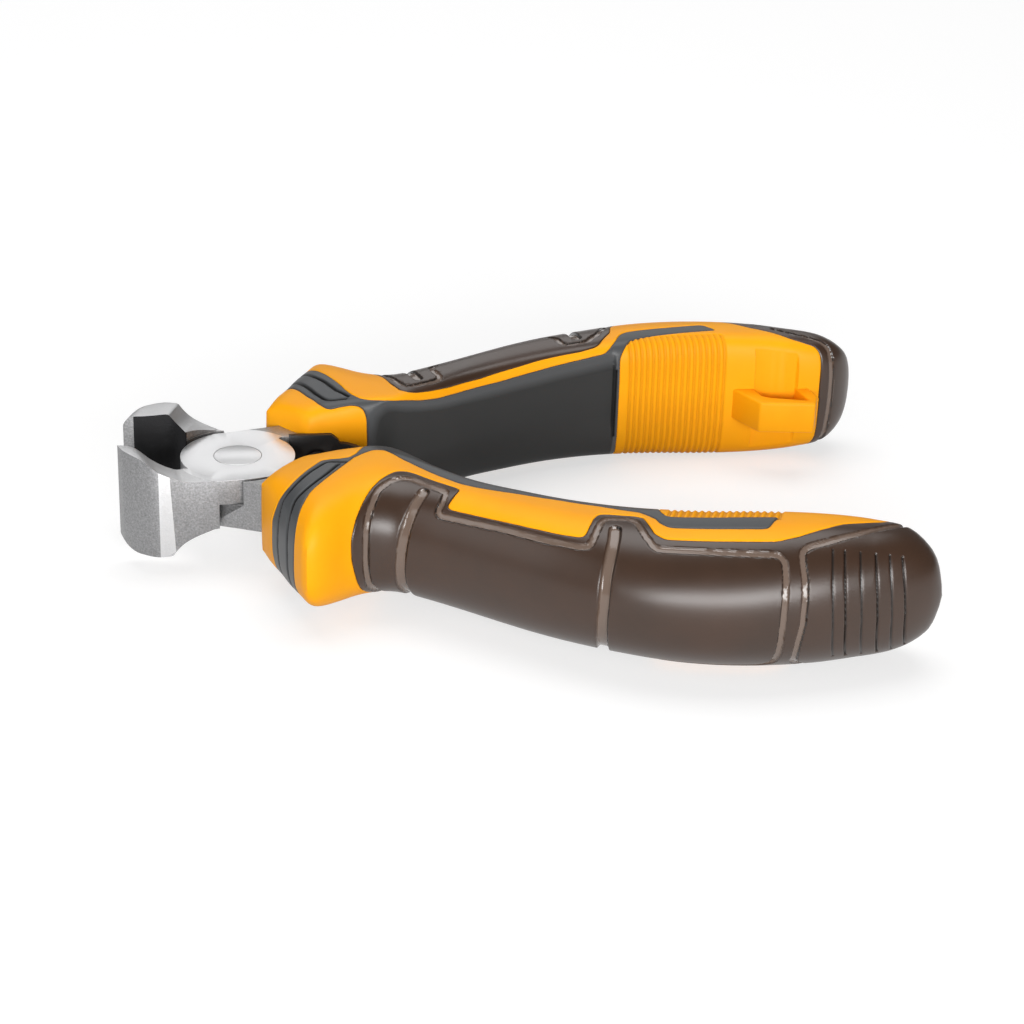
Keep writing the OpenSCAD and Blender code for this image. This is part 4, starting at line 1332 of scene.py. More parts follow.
class LeafLine:
    """The line of a leaf spring beside the collar, as in the CAD source."""

    FIT = 0.05
    GAP = 0.06

    def __init__(self, form: GripForm, thickness: float) -> None:
        """Finds the wall of the collar and the line of the leaf.

        Args:
            form: Form of the grip.
            thickness: Thickness of the leaf.
        """
        def wall(share: float) -> np.ndarray:
            """Point of the collar wall at a share along the grip."""
            line = form.curve(form.inner_line, np.array([share]))[0] * form.bow
            return np.array([form.start + form.length * share, line])

        self.wall = wall(0.042)
        far = wall(0.095)
        self.length = float(np.linalg.norm(far - self.wall))
        self.way = (far - self.wall) / self.length
        self.inward = np.array([self.way[1], -self.way[0]])
        away = self.GAP + thickness / 2
        self.root = self.wall - 0.5 * self.length * self.way + away * self.inward
        self.bend = self.wall + 0.88 * self.length * self.way + away * self.inward
        turn = math.radians(-OPEN_HALF_ANGLE)
        spin = np.array([[math.cos(turn), -math.sin(turn)], [math.sin(turn), math.cos(turn)]])
        tip_x = self.bend[0] + 0.86 * self.length
        self.tip = spin @ np.array([tip_x, 0.75 * thickness])
        lift = spin @ (self.length * np.array([-0.1, 0.42]))
        lead = self.bend + 0.45 * self.length * self.way
        self.tongue = [
            self.bend * (1 - t) ** 3 + lead * 3 * t * (1 - t) ** 2
            + (self.tip + lift) * 3 * t**2 * (1 - t) + self.tip * t**3
            for t in np.linspace(0, 1, 25)]
        self.rivet = self.wall + 0.3 * self.length * self.way

    def beside(self, x: float) -> tuple[float, float]:
        """Point of the line just outside the collar wall."""
        p = self.wall + (x - self.wall[0]) / self.way[0] * self.way - self.FIT * self.inward
        return float(p[0]), float(p[1])


@dataclass(frozen=True)
class Lever:
    """One forged lever: jaw, cheek and tang, in millimetres."""

    cheek_radius: float = 7.9
    cheek: float = 3.6
    face_gap: float = 0.06
    rim_gap: float = 0.8
    rivet_radius: float = 2.44
    head_radius: float = 3.34
    head_depth: float = 1.0
    jaw_reach: float = 16.75
    jaw_width: float = 14.6
    jaw_side: float = 7.5
    mouth_depth: float = 2.7
    edge_gap: float = 0.04
    corner: float = 1.8
    tang_half: float = 2.9
    tang_width: float = 4.6
    tang_end_width: float = 3.0
    tang_reach: float = 46.0
    cover: float = 1.5
    edge_width: float = 0.3
    side_shares: Pairs = (
        (1, 0), (0.985, 0.21), (0.95, 0.4), (0.897, 0.58), (0.832, 0.735), (0.79, 0.805),
        (0.765, 0.835), (0.735, 0.852), (0.69, 0.862), (0.58, 0.885), (0.46, 0.918),
        (0.263, 0.985), (0.06, 1.045), (-0.12, 1.05), (-0.28, 0.96))
    hidden_shares: Pairs = ((-0.2, 0.6), (0.3, 0.35))
    band_shares: tuple[float, float] = (0.755, 0.655)
    hollow_shares: tuple[float, float] = (0.915, 0.49)
    hollow_reach: float = 0.12
    # Shares of painted light on the up- and down-facing faces of the jaw and the root, and of a painted
    # highlight in the band down the jaw's outer corner
    jaw_painted_light: float = 0.66
    root_painted_light: float = 0.2
    band_painted_highlight: float = 0.7
    band_side_share: float = 0.75
    tang_rows: tuple[float, ...] = (0.06, 0.1, 0.13, 0.16, 0.2, 0.25, 0.3, 0.36, 0.43)
    mouth_shares: Pairs = (
        (0.49, 0.81), (0.549, 0.96), (0.621, 0.98), (0.693, 0.81), (0.77, 0.52), (0.848, 0.28),
        (0.931, 0.1), (1, 0))
    top_shares: Pairs = (
        (0.3, 0), (0.46, 0), (0.55, 0.05), (0.609, 0.16), (0.68, 0.3), (0.758, 0.49),
        (0.82, 0.72), (0.872, 0.88), (0.93, 0.96), (1.02, 1))
    under_shares: Pairs = (
        (0, 0), (0.28, 0), (0.352, 0.08), (0.43, 0.216), (0.5, 0.36), (0.555, 0.514),
        (0.6, 0.69), (0.633, 0.865), (0.65, 0.96), (0.67, 1))

    def _jaw(self) -> bpy.types.Object:
        """The jaw: its plan and its profile, one cut by the other."""
        reach, side, mouth = self.jaw_reach, self.jaw_side, self.mouth_depth
        outside = smooth_line(self.side_shares) + list(self.hidden_shares)
        plan = [(-reach * u, -side * v - self.edge_gap) for u, v in outside]
        mouth_line = smooth_line(self.mouth_shares)[:-1]
        plan += [(-reach * u, -mouth * v - self.edge_gap) for u, v in mouth_line]
        rise = self.jaw_width / 2 - self.cheek
        profile = [(self.cheek_radius, self.cheek)]
        profile += [(-reach * u, self.cheek + rise * v) for u, v in smooth_line(self.top_shares)]
        for turn in np.radians(np.linspace(0, 90, 10)):
            profile.append((
                -reach - self.edge_gap + self.corner * (1 - math.cos(turn)),
                -self.jaw_width / 2 + self.corner * (1 - math.sin(turn))))
        under = [(-reach * u, -self.cheek - rise * v) for u, v in smooth_line(self.under_shares)]
        profile += under[::-1] + [(self.cheek_radius, -self.cheek)]
        block = prism("jaw", plan, -self.jaw_width, self.jaw_width)
        return combined(block, prism("profile", profile, -20, 20, True), "INTERSECT")

    def _tang(self, form: GripForm, wide: bool) -> list[tuple[float, float]]:
        """Outline of the tang inside the grip, or of its root beside the cheek."""
        rows = np.array(self.tang_rows)
        scale = (self.tang_reach - form.start) / form.length / rows[-1]
        shares = rows * scale
        low = form.curve(form.inner_line, shares) * form.bow + self.cover
        high = low + self.tang_width + (self.tang_end_width - self.tang_width) * shares / rows[-1]
        places = form.start + form.length * shares
        if not wide:
            return list(zip(places, low)) + list(zip(places[::-1], high[::-1]))
        leaf = LeafLine(form, LEAF_THICKNESS)
        neck = places[0] + 0.5
        radius = self.cheek_radius
        return [
            (-radius * 0.21, radius * 0.995), (radius * 0.94, radius * 1.02), (neck, high[0]),
            (neck, low[0]), leaf.beside(leaf.wall[0]), leaf.beside(radius * 0.94), (0.0, 0.0)]

    def build(self, name: str, half: Half, form: GripForm) -> bpy.types.Object:
        """Builds the lever and places it on its half of the tool.

        Args:
            name: Name of the piece.
            half: Half of the tool.
            form: Form of the grip that holds its tang.

        Returns:
            The lever.
        """
        body = self._jaw()
        combined(body, prism("root", self._tang(form, True), -self.cheek, self.cheek), "UNION")
        tang = prism("tang", self._tang(form, False), -self.tang_half, self.tang_half)
        combined(body, tang, "UNION")
        low, high, over = self.face_gap / 2, self.cheek, 0.02
        combined(body, cylinder(self.cheek_radius + self.rim_gap, low - 20, low), "DIFFERENCE")
        combined(body, cylinder(self.cheek_radius, low, high), "UNION")
        combined(body, cylinder(self.rivet_radius, -1, high + 1), "DIFFERENCE")
        seat = cylinder(
            self.rivet_radius, high - self.head_depth, high + over, self.head_radius + over)
        combined(body, seat, "DIFFERENCE")
        body.name = body.data.name = name
        rounded(body, self.edge_width)
        self._blacken(body)
        # Paints light on the up- and down-facing faces and a highlight down the jaw's corner
        self._paint_light(body)
        settle(body, half)
        return body

    def _blacken(self, body: bpy.types.Object) -> None:
        """Marks the faces of the hollow between the jaws, which are coloured near black."""
        line = np.array([
            (-self.jaw_reach * u, -self.mouth_depth * v - self.edge_gap)
            for u, v in smooth_line(self.mouth_shares)])
        low, high = (-share * self.jaw_reach for share in self.hollow_shares)
        start, way = line[:-1], np.diff(line, axis=0)
        layer = body.data.attributes.new("hollow_darkening", "FLOAT", "FACE")
        for face, value in zip(body.data.polygons, layer.data):
            place = np.array(face.center[:2])
            if low < place[0] < high and abs(face.normal.z) < 0.7:
                t = np.clip(((place - start) * way).sum(axis=1) / (way**2).sum(axis=1), 0, 1)
                gap = np.linalg.norm(start + way * t[:, None] - place, axis=1).min()
                value.value = float(gap < self.hollow_reach)

    def _paint_light(self, body: bpy.types.Object) -> None:
        """Marks painted light: a lighter colour on faces that face up or down, and a painted highlight
        in the band down the jaw's outer corner.
        """
        start, end = (-self.jaw_reach * u for u in self.band_shares)
        layer = body.data.attributes.new("painted_light_mask", "FLOAT", "FACE")
        for face, value in zip(body.data.polygons, layer.data):
            x, y, _ = face.center
            if abs(face.normal.z) > 0.4:
                value.value = self.jaw_painted_light if x < 0 else self.root_painted_light
            elif start < x < end and y < -self.band_side_share * self.jaw_side:
                value.value = self.band_painted_highlight


@dataclass(frozen=True)
class LeafSpring:
    """A leaf spring: a plate along the collar wall and a tongue to the middle, in millimetres."""

    thickness: float = LEAF_THICKNESS
    plate_width: float = 8.2
    tongue_width: float = 5.6
    hole: float = 1.04

    def build(self, name: str, half: Half, form: GripForm) -> bpy.types.Object:
        """Builds the leaf and places it on its half of the tool.

        Args:
            name: Name of the piece.
            half: Half of the tool.
            form: Form of the grip that carries it.

        Returns:
            The leaf.
        """
        leaf = LeafLine(form, self.thickness)
        plate = [leaf.root + (leaf.bend - leaf.root) * t for t in np.linspace(0, 1, 9)]
        line = np.array(plate[:-1] + leaf.tongue)
        way = np.gradient(line, axis=0)
        way /= np.linalg.norm(way, axis=1, keepdims=True)
        side = np.stack([-way[:, 1], way[:, 0]], axis=1) * self.thickness / 2
        outline = [tuple(p) for p in line + side] + [tuple(p) for p in (line - side)[::-1]]
        wide = self.plate_width / 2
        body = prism(name, outline, -wide, wide)
        hole = cylinder(self.hole, -3, 3)
        hole.data.transform(self.turned_to_wall(leaf))
        for vertex in body.data.vertices:
            place = np.array(vertex.co[:2]) - leaf.bend
            along = float(place @ leaf.way) if vertex.co.x > leaf.bend[0] - 1.0 else -1.0
            share = float(smoothstep(np.array([along]), -0.4, 0.35)[0])
            vertex.co.z *= 1.0 + (self.tongue_width / self.plate_width - 1.0) * share
        combined(body, hole, "DIFFERENCE")
        rounded(body, 0.12, 40.0, 2)
        settle(body, half)
        return body

    @staticmethod
    def turned_to_wall(leaf: LeafLine) -> Matrix:
        """Moves a body along z onto the rivet line, square to the collar wall."""
        out = Vector((leaf.inward[0], leaf.inward[1], 0.0))
        turn = Vector((0, 0, 1)).rotation_difference(out).to_matrix().to_4x4()
        return Matrix.Translation((leaf.rivet[0], leaf.rivet[1], 0.0)) @ turn

    def bend_points(self, half: Half, form: GripForm) -> tuple[Vector, Vector]:
        """Where the leaf starts to follow the other half, and where it would follow it fully."""
        leaf = LeafLine(form, self.thickness)
        end = leaf.bend + 2.0 * (leaf.tip - leaf.bend)
        ends = half.placed(np.array([[*leaf.bend, 0.0], [*end, 0.0]]))
        return Vector(ends[0]), Vector(ends[1])


@dataclass(frozen=True)
class SpringRivet:
    """The rivet of a leaf spring, in millimetres."""

    shank: float = 1.0
    head: float = 1.7
    height: float = 0.45
    depth: float = 3.7
    seat: float = 0.79

    def build(self, name: str, half: Half, form: GripForm) -> bpy.types.Object:
        """Builds the rivet and places it on its half of the tool."""
        body = cylinder(self.shank, self.seat - self.depth, self.seat + 0.05)
        combined(body, cylinder(self.head, self.seat, self.seat + self.height), "UNION")
        body.name = body.data.name = name
        rounded(body, 0.2, 40.0, 4)
        leaf = LeafLine(form, LEAF_THICKNESS)
        body.data.transform(LeafSpring.turned_to_wall(leaf))
        settle(body, half)
        return body


@dataclass(frozen=True)
class PivotRivet:
    """The flush rivet of the joint, in millimetres."""

    shank: float = 2.4
    head: float = 3.3
    head_depth: float = 1.0
    half: float = 3.6

    def build(self, name: str) -> bpy.types.Object:
        """Builds the rivet about the axis of the joint."""
        low = self.half - self.head_depth
        body = cylinder(self.shank, -low - 0.01, low + 0.01)
        combined(body, cylinder(self.shank, low, self.half, self.head), "UNION")
        combined(body, cylinder(self.head, -self.half, -low, self.shank), "UNION")
        body.name = body.data.name = name
        rounded(body, 0.1, 30.0, 2)
        settle(body, Half.FAR)
        return body


@dataclass(frozen=True)
class CordLoop:
    """The moulded cord loop on the far grip."""

    surface: GripSurface
    sizes: LoopSizes

    def _inner(self, x: float) -> float:
        """Inner line of the grip at a place along it."""
        return float(self.surface.inner_at(np.array([x]))[0])

    def build(self, name: str, half: Half) -> bpy.types.Object:
        """Builds the loop as one rounded bar and places it on its half of the tool."""
        z, inner = self.sizes, self._inner
        top, end_top = inner(z.start) - z.proud, inner(z.eye_end) - z.proud
        sunk = z.floor + 0.5
        outline = [
            (z.start, inner(z.start) + sunk), (z.start, inner(z.start)),
            (z.start + z.slope, top), (z.eye_end + 0.3, end_top),
            (z.root_end, inner(z.root_end) - z.proud * 0.5),
            (z.root_end, inner(z.root_end) + sunk), (z.eye_end, inner(z.eye_end) + sunk),
            (z.eye_end, end_top + z.bar), (z.eye_start + z.bar / 2, top + z.bar),
            (z.eye_start, top + 1.5 * z.bar), (z.eye_start, inner(z.eye_start) + sunk)]
        body = prism(name, outline, -z.height / 2 - z.drop, z.height / 2 - z.drop)
        rounded(body, z.edge, 20.0, 4)
        settle(body, half)
        return body


def linear(hex_colour: str) -> tuple[float, float, float, float]:
    """A colour as the shader wants it.

    Args:
        hex_colour: Six digits, as on a colour picker.

    Returns:
        Linear red, green, blue and one.
    """
    parts = [int(hex_colour[i : i + 2], 16) / 255 for i in (0, 2, 4)]
    mixed = [c / 12.92 if c <= 0.04045 else ((c + 0.055) / 1.055) ** 2.4 for c in parts]
    return (mixed[0], mixed[1], mixed[2], 1.0)


class Nodes:
    """Short ways to place and join shader nodes in one tree."""

    def __init__(self, tree: bpy.types.NodeTree) -> None:
        """Keeps the tree that is worked on."""
        self.tree = tree

    def add(self, kind: str, **settings: object) -> bpy.types.Node:
        """Places a node and sets its properties and the values of its inputs.

        Args:
            kind: Type of the node, without its prefix.
            **settings: Properties, or input values under names with underscores.

        Returns:
            The node.
        """
        node = self.tree.nodes.new("ShaderNode" + kind)
        for name, value in settings.items():
            if hasattr(node, name):
                setattr(node, name, value)
            else:
                node.inputs[name.replace("_", " ")].default_value = value
        return node

    def link(self, output: bpy.types.NodeSocket, target: bpy.types.NodeSocket) -> None:
        """Joins an output to an input."""
        self.tree.links.new(output, target)

    def feed(self, value: object, target: bpy.types.NodeSocket) -> None:
        """Joins a socket to an input, or sets the input to a number or a colour."""
        if isinstance(value, bpy.types.NodeSocket):
            self.link(value, target)
        else:
            target.default_value = value

    def math(self, operation: str, *values: object, clamp: bool = False) -> bpy.types.NodeSocket:
        """Places a Math node on sockets or numbers.

        Args:
            operation: What it does.
            *values: Sockets or numbers.
            clamp: Whether the result stays between 0 and 1.

        Returns:
            The result's socket.
        """
        node = self.add("Math", operation=operation, use_clamp=clamp)
        for value, target in zip(values, node.inputs):
            self.feed(value, target)
        return node.outputs[0]

    def mix(self, kind: str, first: object, second: object, factor: object) -> bpy.types.NodeSocket:
        """Places a Mix node.

        Args:
            kind: RGBA, FLOAT or VECTOR.
            first: Socket or value at factor 0.
            second: Socket or value at factor 1.
            factor: Socket or number.

        Returns:
            The result's socket.
        """
        node = self.add("Mix", data_type=kind)
        for key, value in (("A", first), ("B", second), ("Factor", factor)):
            self.feed(value, node.inputs[key])
        return node.outputs["Result"]

    def between(
        self, share: bpy.types.NodeSocket, ends: tuple[float, float],
    ) -> bpy.types.NodeSocket:
        """A number that goes from one end to the other with a share."""
        low, high = ends
        return self.math("ADD", self.math("MULTIPLY", share, high - low), low)

    def group(self, tree: bpy.types.NodeTree, **values: float) -> bpy.types.Node:
        """Places a shared group and sets its inputs."""
        node = self.tree.nodes.new("ShaderNodeGroup")
        node.node_tree = tree
        for name, value in values.items():
            node.inputs[name.replace("_", " ")].default_value = value
        return node

    def mask(self, name: str) -> bpy.types.NodeSocket:
        """An attribute of the mesh, as a number."""
        return self.add("Attribute", attribute_name=name).outputs["Fac"]


def new_material(name: str) -> tuple[bpy.types.Material, Nodes]:
    """Starts an empty material.

    Args:
        name: Name of the material.

    Returns:
        The material and its node helper.
    """
    material = bpy.data.materials.new(name)
    material.use_nodes = True
    material.node_tree.nodes.clear()
    return material, Nodes(material.node_tree)


def finished(n: Nodes, shader: bpy.types.Node, **inputs: bpy.types.NodeSocket) -> None:
    """Feeds a shader and joins it to the output.

    Args:
        n: Node helper of the material.
        shader: The shader.
        **inputs: Sockets for its inputs, under names with underscores.
    """
    for name, socket in inputs.items():
        n.link(socket, shader.inputs[name.replace("_", " ")])
    n.link(shader.outputs[0], n.add("OutputMaterial").inputs["Surface"])


def new_group(
    name: str, inputs: dict[str, float], outputs: dict[str, str],
) -> tuple[bpy.types.NodeTree, Nodes]:
    """Starts a shader node group.

    Args:
        name: Name of the group.
        inputs: Default of each number input.
        outputs: Socket type of each output.

    Returns:
        The group and its node helper.
    """
    group = bpy.data.node_groups.new(name, "ShaderNodeTree")
    for key, value in inputs.items():
        socket = group.interface.new_socket(key, in_out="INPUT", socket_type="NodeSocketFloat")
        socket.default_value = value
    for key, kind in outputs.items():
        group.interface.new_socket(key, in_out="OUTPUT", socket_type=kind)
    return group, Nodes(group)


class Effects:
    """Node groups that several finishes share."""

    def __init__(self) -> None:
        """Builds each group once."""
        self.grain = self._grain()
        self.tone = self._tone()

    @staticmethod
    def _grain() -> bpy.types.NodeTree:
        """Fine grain: two sizes of noise, as a normal."""
        group, n = new_group(
            "fine_grain", {"Scale": 900.0, "Coarse Scale": 120.0, "Strength": 0.1, "Distance": 0.0001},
            {"Normal": "NodeSocketVector"})
        given, out = n.tree.nodes.new("NodeGroupInput"), n.tree.nodes.new("NodeGroupOutput")
        place = n.add("TexCoord").outputs["Object"]
        layers = []
        for scale, detail, roughness, share in (
                ("Scale", 3.0, 0.6, 0.6), ("Coarse Scale", 4.0, 0.55, 0.4)):
            noise = n.add("TexNoise", noise_dimensions="3D", Detail=detail, Roughness=roughness)
            n.link(place, noise.inputs["Vector"])
            n.link(given.outputs[scale], noise.inputs["Scale"])
            layers.append(n.math("MULTIPLY", noise.outputs["Fac"], share))
        height = n.math("ADD", *layers)
        bump = n.add("Bump")
        n.link(height, bump.inputs["Height"])
        n.link(given.outputs["Strength"], bump.inputs["Strength"])
        n.link(given.outputs["Distance"], bump.inputs["Distance"])
        n.link(bump.outputs["Normal"], out.inputs["Normal"])
        return group

    @staticmethod
    def _tone() -> bpy.types.NodeTree:
        """Soft variation over the whole surface, from 0 to 1."""
        group, n = new_group(
            "soft_tone", {"Scale": 60.0, "Contrast": 1.0}, {"Tone": "NodeSocketFloat"})
        given, out = n.tree.nodes.new("NodeGroupInput"), n.tree.nodes.new("NodeGroupOutput")
        place = n.add("TexCoord")
        noise = n.add("TexNoise", noise_dimensions="3D", Detail=5.0, Roughness=0.6)
        n.link(place.outputs["Object"], noise.inputs["Vector"])
        n.link(given.outputs["Scale"], noise.inputs["Scale"])
        centred = n.math("SUBTRACT", noise.outputs["Fac"], 0.5)
        spread = n.math("MULTIPLY", centred, given.outputs["Contrast"])
        n.link(n.math("ADD", spread, 0.5, clamp=True), out.inputs["Tone"])
        return group


@dataclass(frozen=True)
class Finish:
    """A moulded finish: two close tones, a fine grain, glossier grooves with a painted highlight colour
    on their floors, and painted shade in the grooves.
    """

    name: str
    light: str
    dark: str
    rough: tuple[float, float] = (0.4, 0.5)
    grain_scale: float = 2600.0
    coarse_scale: float = 300.0
    grain: float = 0.08
    tone_scale: float = 90.0
    tone_contrast: float = 1.6
    # Lighter colour painted on groove floors and on the grey land, as a painted highlight
    groove_painted_light: str | None = None
    groove_rough: float = 0.2
    # Colour of the painted shade in the grooves
    groove_painted_shade_colour: str = "0A0807"
    specular: float = 0.5

    def make(self, effects: Effects) -> bpy.types.Material:
        """Builds the material.

        Args:
            effects: The shared node groups.

        Returns:
            The material.
        """
        material, n = new_material(self.name)
        shader = n.add("BsdfPrincipled", Specular_IOR_Level=self.specular)
        tone = n.group(effects.tone, Scale=self.tone_scale, Contrast=self.tone_contrast).outputs["Tone"]
        grain = n.group(
            effects.grain, Scale=self.grain_scale, Coarse_Scale=self.coarse_scale, Strength=self.grain)
        colour = n.mix("RGBA", linear(self.dark), linear(self.light), tone)
        rough = n.between(tone, self.rough)
        # Painted highlight: the groove floors, and on the grey skin everything but the inner face, take
        # a lighter colour as well as a lower roughness
        if self.groove_painted_light:
            gloss = n.mask("groove_gloss_and_painted_light")
            colour = n.mix("RGBA", colour, linear(self.groove_painted_light), gloss)
            fall = n.math("MULTIPLY", n.math("SUBTRACT", rough, self.groove_rough), gloss)
            rough = n.math("SUBTRACT", rough, fall)
        # Painted shade: a darker colour along the grooves
        colour = n.mix("RGBA", colour, linear(self.groove_painted_shade_colour), n.mask("groove_painted_shade"))
        finished(n, shader, Base_Color=colour, Roughness=rough, Normal=grain.outputs["Normal"])
        return material


@dataclass(frozen=True)
class SteelFinish:
    """Forged and blasted steel, with ground faces on the cheeks, painted light on faces that face up or
    down, and a painted highlight down the jaw's outer corner.
    """

    name: str
    light: str = "B6B6B7"
    dark: str = "626263"
    # Colour of the ground cheek faces, and of the painted light and painted highlight
    bright: str = "E6E6E7"
    black: str = "2A2A2B"
    tone_scale: float = 3800.0
    tone_contrast: float = 1.15
    rough: tuple[float, float] = (0.4, 0.5)
    blast: float = 0.4
    blast_scale: float = 4200.0
    blast_coarse: float = 1400.0
    blast_depth: float = 0.00015
    face_height: float = 0.0036
    face_slack: float = 0.00004
    face_radius: float = 0.0088
    ground_lift: float = 0.8
    ground_rough: tuple[float, float] = (0.28, 0.44)
    streaks: float = 0.4
    streaks_round: float = 9.0
    streaks_out: float = 120.0

    def make(self, effects: Effects) -> bpy.types.Material:
        """Builds the material.

        Args:
            effects: The shared node groups.

        Returns:
            The material.
        """
        material, n = new_material(self.name)
        shader = n.add("BsdfPrincipled", Metallic=1.0)
        split = n.add("SeparateXYZ")
        n.link(n.add("TexCoord").outputs["Object"], split.inputs["Vector"])
        x, y, z = split.outputs
        radius = n.math("SQRT", n.math("ADD", n.math("MULTIPLY", x, x), n.math("MULTIPLY", y, y)))
        at_face = n.math("COMPARE", n.math("ABSOLUTE", z), self.face_height, self.face_slack)
        ground = n.math("MULTIPLY", at_face, n.math("LESS_THAN", radius, self.face_radius))
        scratch = self._scratch(n, n.math("ARCTAN2", y, x), radius)
        tone = n.group(effects.tone, Scale=self.tone_scale, Contrast=self.tone_contrast).outputs["Tone"]
        grain = n.group(
            effects.grain, Scale=self.blast_scale, Coarse_Scale=self.blast_coarse,
            Strength=self.blast, Distance=self.blast_depth)
        streak = n.math("MULTIPLY", n.math("MULTIPLY", scratch, ground), self.streaks)
        lift = n.math("ADD", streak, n.math("MULTIPLY", ground, self.ground_lift))
        colour = n.mix("RGBA", linear(self.dark), linear(self.light), tone)
        # The lighter colour goes on the ground cheek faces and, through the mask, as painted light on
        # up- and down-facing faces and a painted highlight down the jaw's corner
        worked = n.math("MAXIMUM", n.mask("painted_light_mask"), lift)
        colour = n.mix("RGBA", colour, linear(self.bright), worked)
        # The faces of the hollow between the jaws are coloured near black
        colour = n.mix("RGBA", colour, linear(self.black), n.mask("hollow_darkening"))
        rough = n.mix(
            "FLOAT", n.between(tone, self.rough), n.between(scratch, self.ground_rough), ground)
        lines = n.add("Bump", Strength=0.05, Distance=0.0001)
        n.link(scratch, lines.inputs["Height"])
        normal = n.mix("VECTOR", grain.outputs["Normal"], lines.outputs["Normal"], ground)
        finished(n, shader, Base_Color=colour, Roughness=rough, Normal=normal)
        return material

    def _scratch(
        self, n: Nodes, angle: bpy.types.NodeSocket, radius: bpy.types.NodeSocket,
    ) -> bpy.types.NodeSocket:
        """Fine scratches of the grinding wheel, as a pattern of angle and radius.

        Args:
            n: Node helper of the material.
            angle: Angle about the joint.
            radius: Distance from the joint.

        Returns:
            The pattern, from 0 to 1.
        """
        ray = n.add("CombineXYZ")
        n.link(n.math("MULTIPLY", angle, self.streaks_round), ray.inputs["X"])
        n.link(n.math("MULTIPLY", radius, self.streaks_out), ray.inputs["Y"])
        scratch = n.add("TexNoise", noise_dimensions="3D", Scale=6.0, Detail=5.0, Roughness=0.7)
        n.link(ray.outputs["Vector"], scratch.inputs["Vector"])
        return scratch.outputs["Fac"]


# The yellow pad grooves carry painted shade
YELLOW = Finish(
    "yellow_nylon", "FFAD0C", "FAA208", (0.42, 0.5), coarse_scale=220.0, grain=0.05, specular=0.18,
    groove_painted_shade_colour="C88408")
# The brown groove floors carry a painted highlight colour
BROWN = Finish(
    "brown_rubber", "3E281A", "302014", (0.3, 0.36), grain=0.06, groove_painted_light="6E5D52",
    groove_rough=0.15, specular=0.62)
# The lighter grey is painted light on the land and the skin above it; the inner face stays darker
GREY = Finish(
    "grey_rubber", "232424", "1E1F1F", (0.46, 0.54), grain=0.1, groove_painted_light="484A4C",
    groove_rough=0.42, specular=0.4)
STEEL = SteelFinish("forged_steel")
SPRING = Finish("black_spring_steel", "232324", "161618", (0.34, 0.46), grain=0.12, specular=0.5)


def dress(obj: bpy.types.Object, material: bpy.types.Material) -> None:
    """Gives a piece one material."""
    obj.data.materials.clear()
    obj.data.materials.append(material)


@dataclass(frozen=True)
class Studio:
    """Floor, lights, world and camera of the photograph, in metres."""

    floor_height: float = -0.00985
    camera_place: Triple = (0.01446, -0.33175, 0.15556)
    right: Triple = (0.99793, -0.05763, 0.02865)
    up: Triple = (-0.00066, 0.43589, 0.90000)
    forward: Triple = (0.06436, 0.89816, -0.43494)
    lens: float = 92.375
    sensor: float = 36.0
    middle: Triple = (0.035, 0.0, 0.0)
    boxes: tuple[tuple[str, Triple, tuple[float, float], float], ...] = (
        ("front_box", (0.09, -0.62, 0.17), (0.72, 0.17), 4.9),
        ("top_box", (0.02, 0.2, 0.7), (0.7, 0.45), 2.9),
        ("back_box", (0.0, 0.8, 0.36), (0.7, 0.25), 0.8),
        ("left_box", (-0.55, -0.25, 0.3), (0.25, 0.5), 0.7))
    room: float = 0.16
    floor_grey: float = 0.45
    floor_glow: float = 0.62

    def camera(self) -> None:
        """Sets the camera at the photograph's angle."""
        data = bpy.data.cameras.new("photo_camera")
        data.lens, data.sensor_width = self.lens, self.sensor
        data.clip_start, data.clip_end = 0.01, 10.0
        camera = bpy.data.objects.new("photo_camera", data)
        bpy.context.scene.collection.objects.link(camera)
        back = [-c for c in self.forward]
        turn = Matrix((self.right, self.up, back)).transposed().to_4x4()
        camera.matrix_world = Matrix.Translation(self.camera_place) @ turn
        bpy.context.scene.camera = camera

    def lights(self) -> None:
        """Hangs the soft boxes: each has its place, its size and its power in watts."""
        for name, place, size, power in self.boxes:
            data = bpy.data.lights.new(name, "AREA")
            data.shape, data.energy = "RECTANGLE", power
            data.size, data.size_y = size
            lamp = bpy.data.objects.new(name, data)
            bpy.context.scene.collection.objects.link(lamp)
            lamp.location = place
            way = Vector(self.middle) - Vector(place)
            lamp.rotation_euler = way.to_track_quat("-Z", "Y").to_euler()

    def world(self) -> None:
        """A pale, even room."""
        world = bpy.data.worlds.new("pale_room")
        bpy.context.scene.world = world
        world.use_nodes = True
        world.node_tree.nodes.clear()
        n = Nodes(world.node_tree)
        room = n.add("Background", Color=(1, 1, 1, 1), Strength=self.room)
        n.link(room.outputs[0], n.add("OutputWorld").inputs["Surface"])

    def floor(self) -> None:
        """A pale floor that shows white and keeps the shadow."""
        bpy.ops.object.select_all(action="DESELECT")
        bpy.ops.mesh.primitive_plane_add(size=6.0, location=(0, 0, self.floor_height))
        floor = bpy.context.active_object
        floor.name = "floor"
        material, n = new_material("pale_floor")
        matt = n.add("BsdfDiffuse", Color=(*[self.floor_grey] * 3, 1.0))
        glow = n.add("Emission", Color=(1, 1, 1, 1))
        path = n.add("LightPath").outputs
        seen = n.math("MAXIMUM", path["Is Camera Ray"], path["Is Glossy Ray"])
        seen = n.math("MAXIMUM", seen, path["Is Transmission Ray"])
        n.link(n.math("MULTIPLY", seen, self.floor_glow), glow.inputs["Strength"])
        both = n.add("AddShader")
        n.link(matt.outputs[0], both.inputs[0])
        n.link(glow.outputs[0], both.inputs[1])
        finished(n, both)
        dress(floor, material)


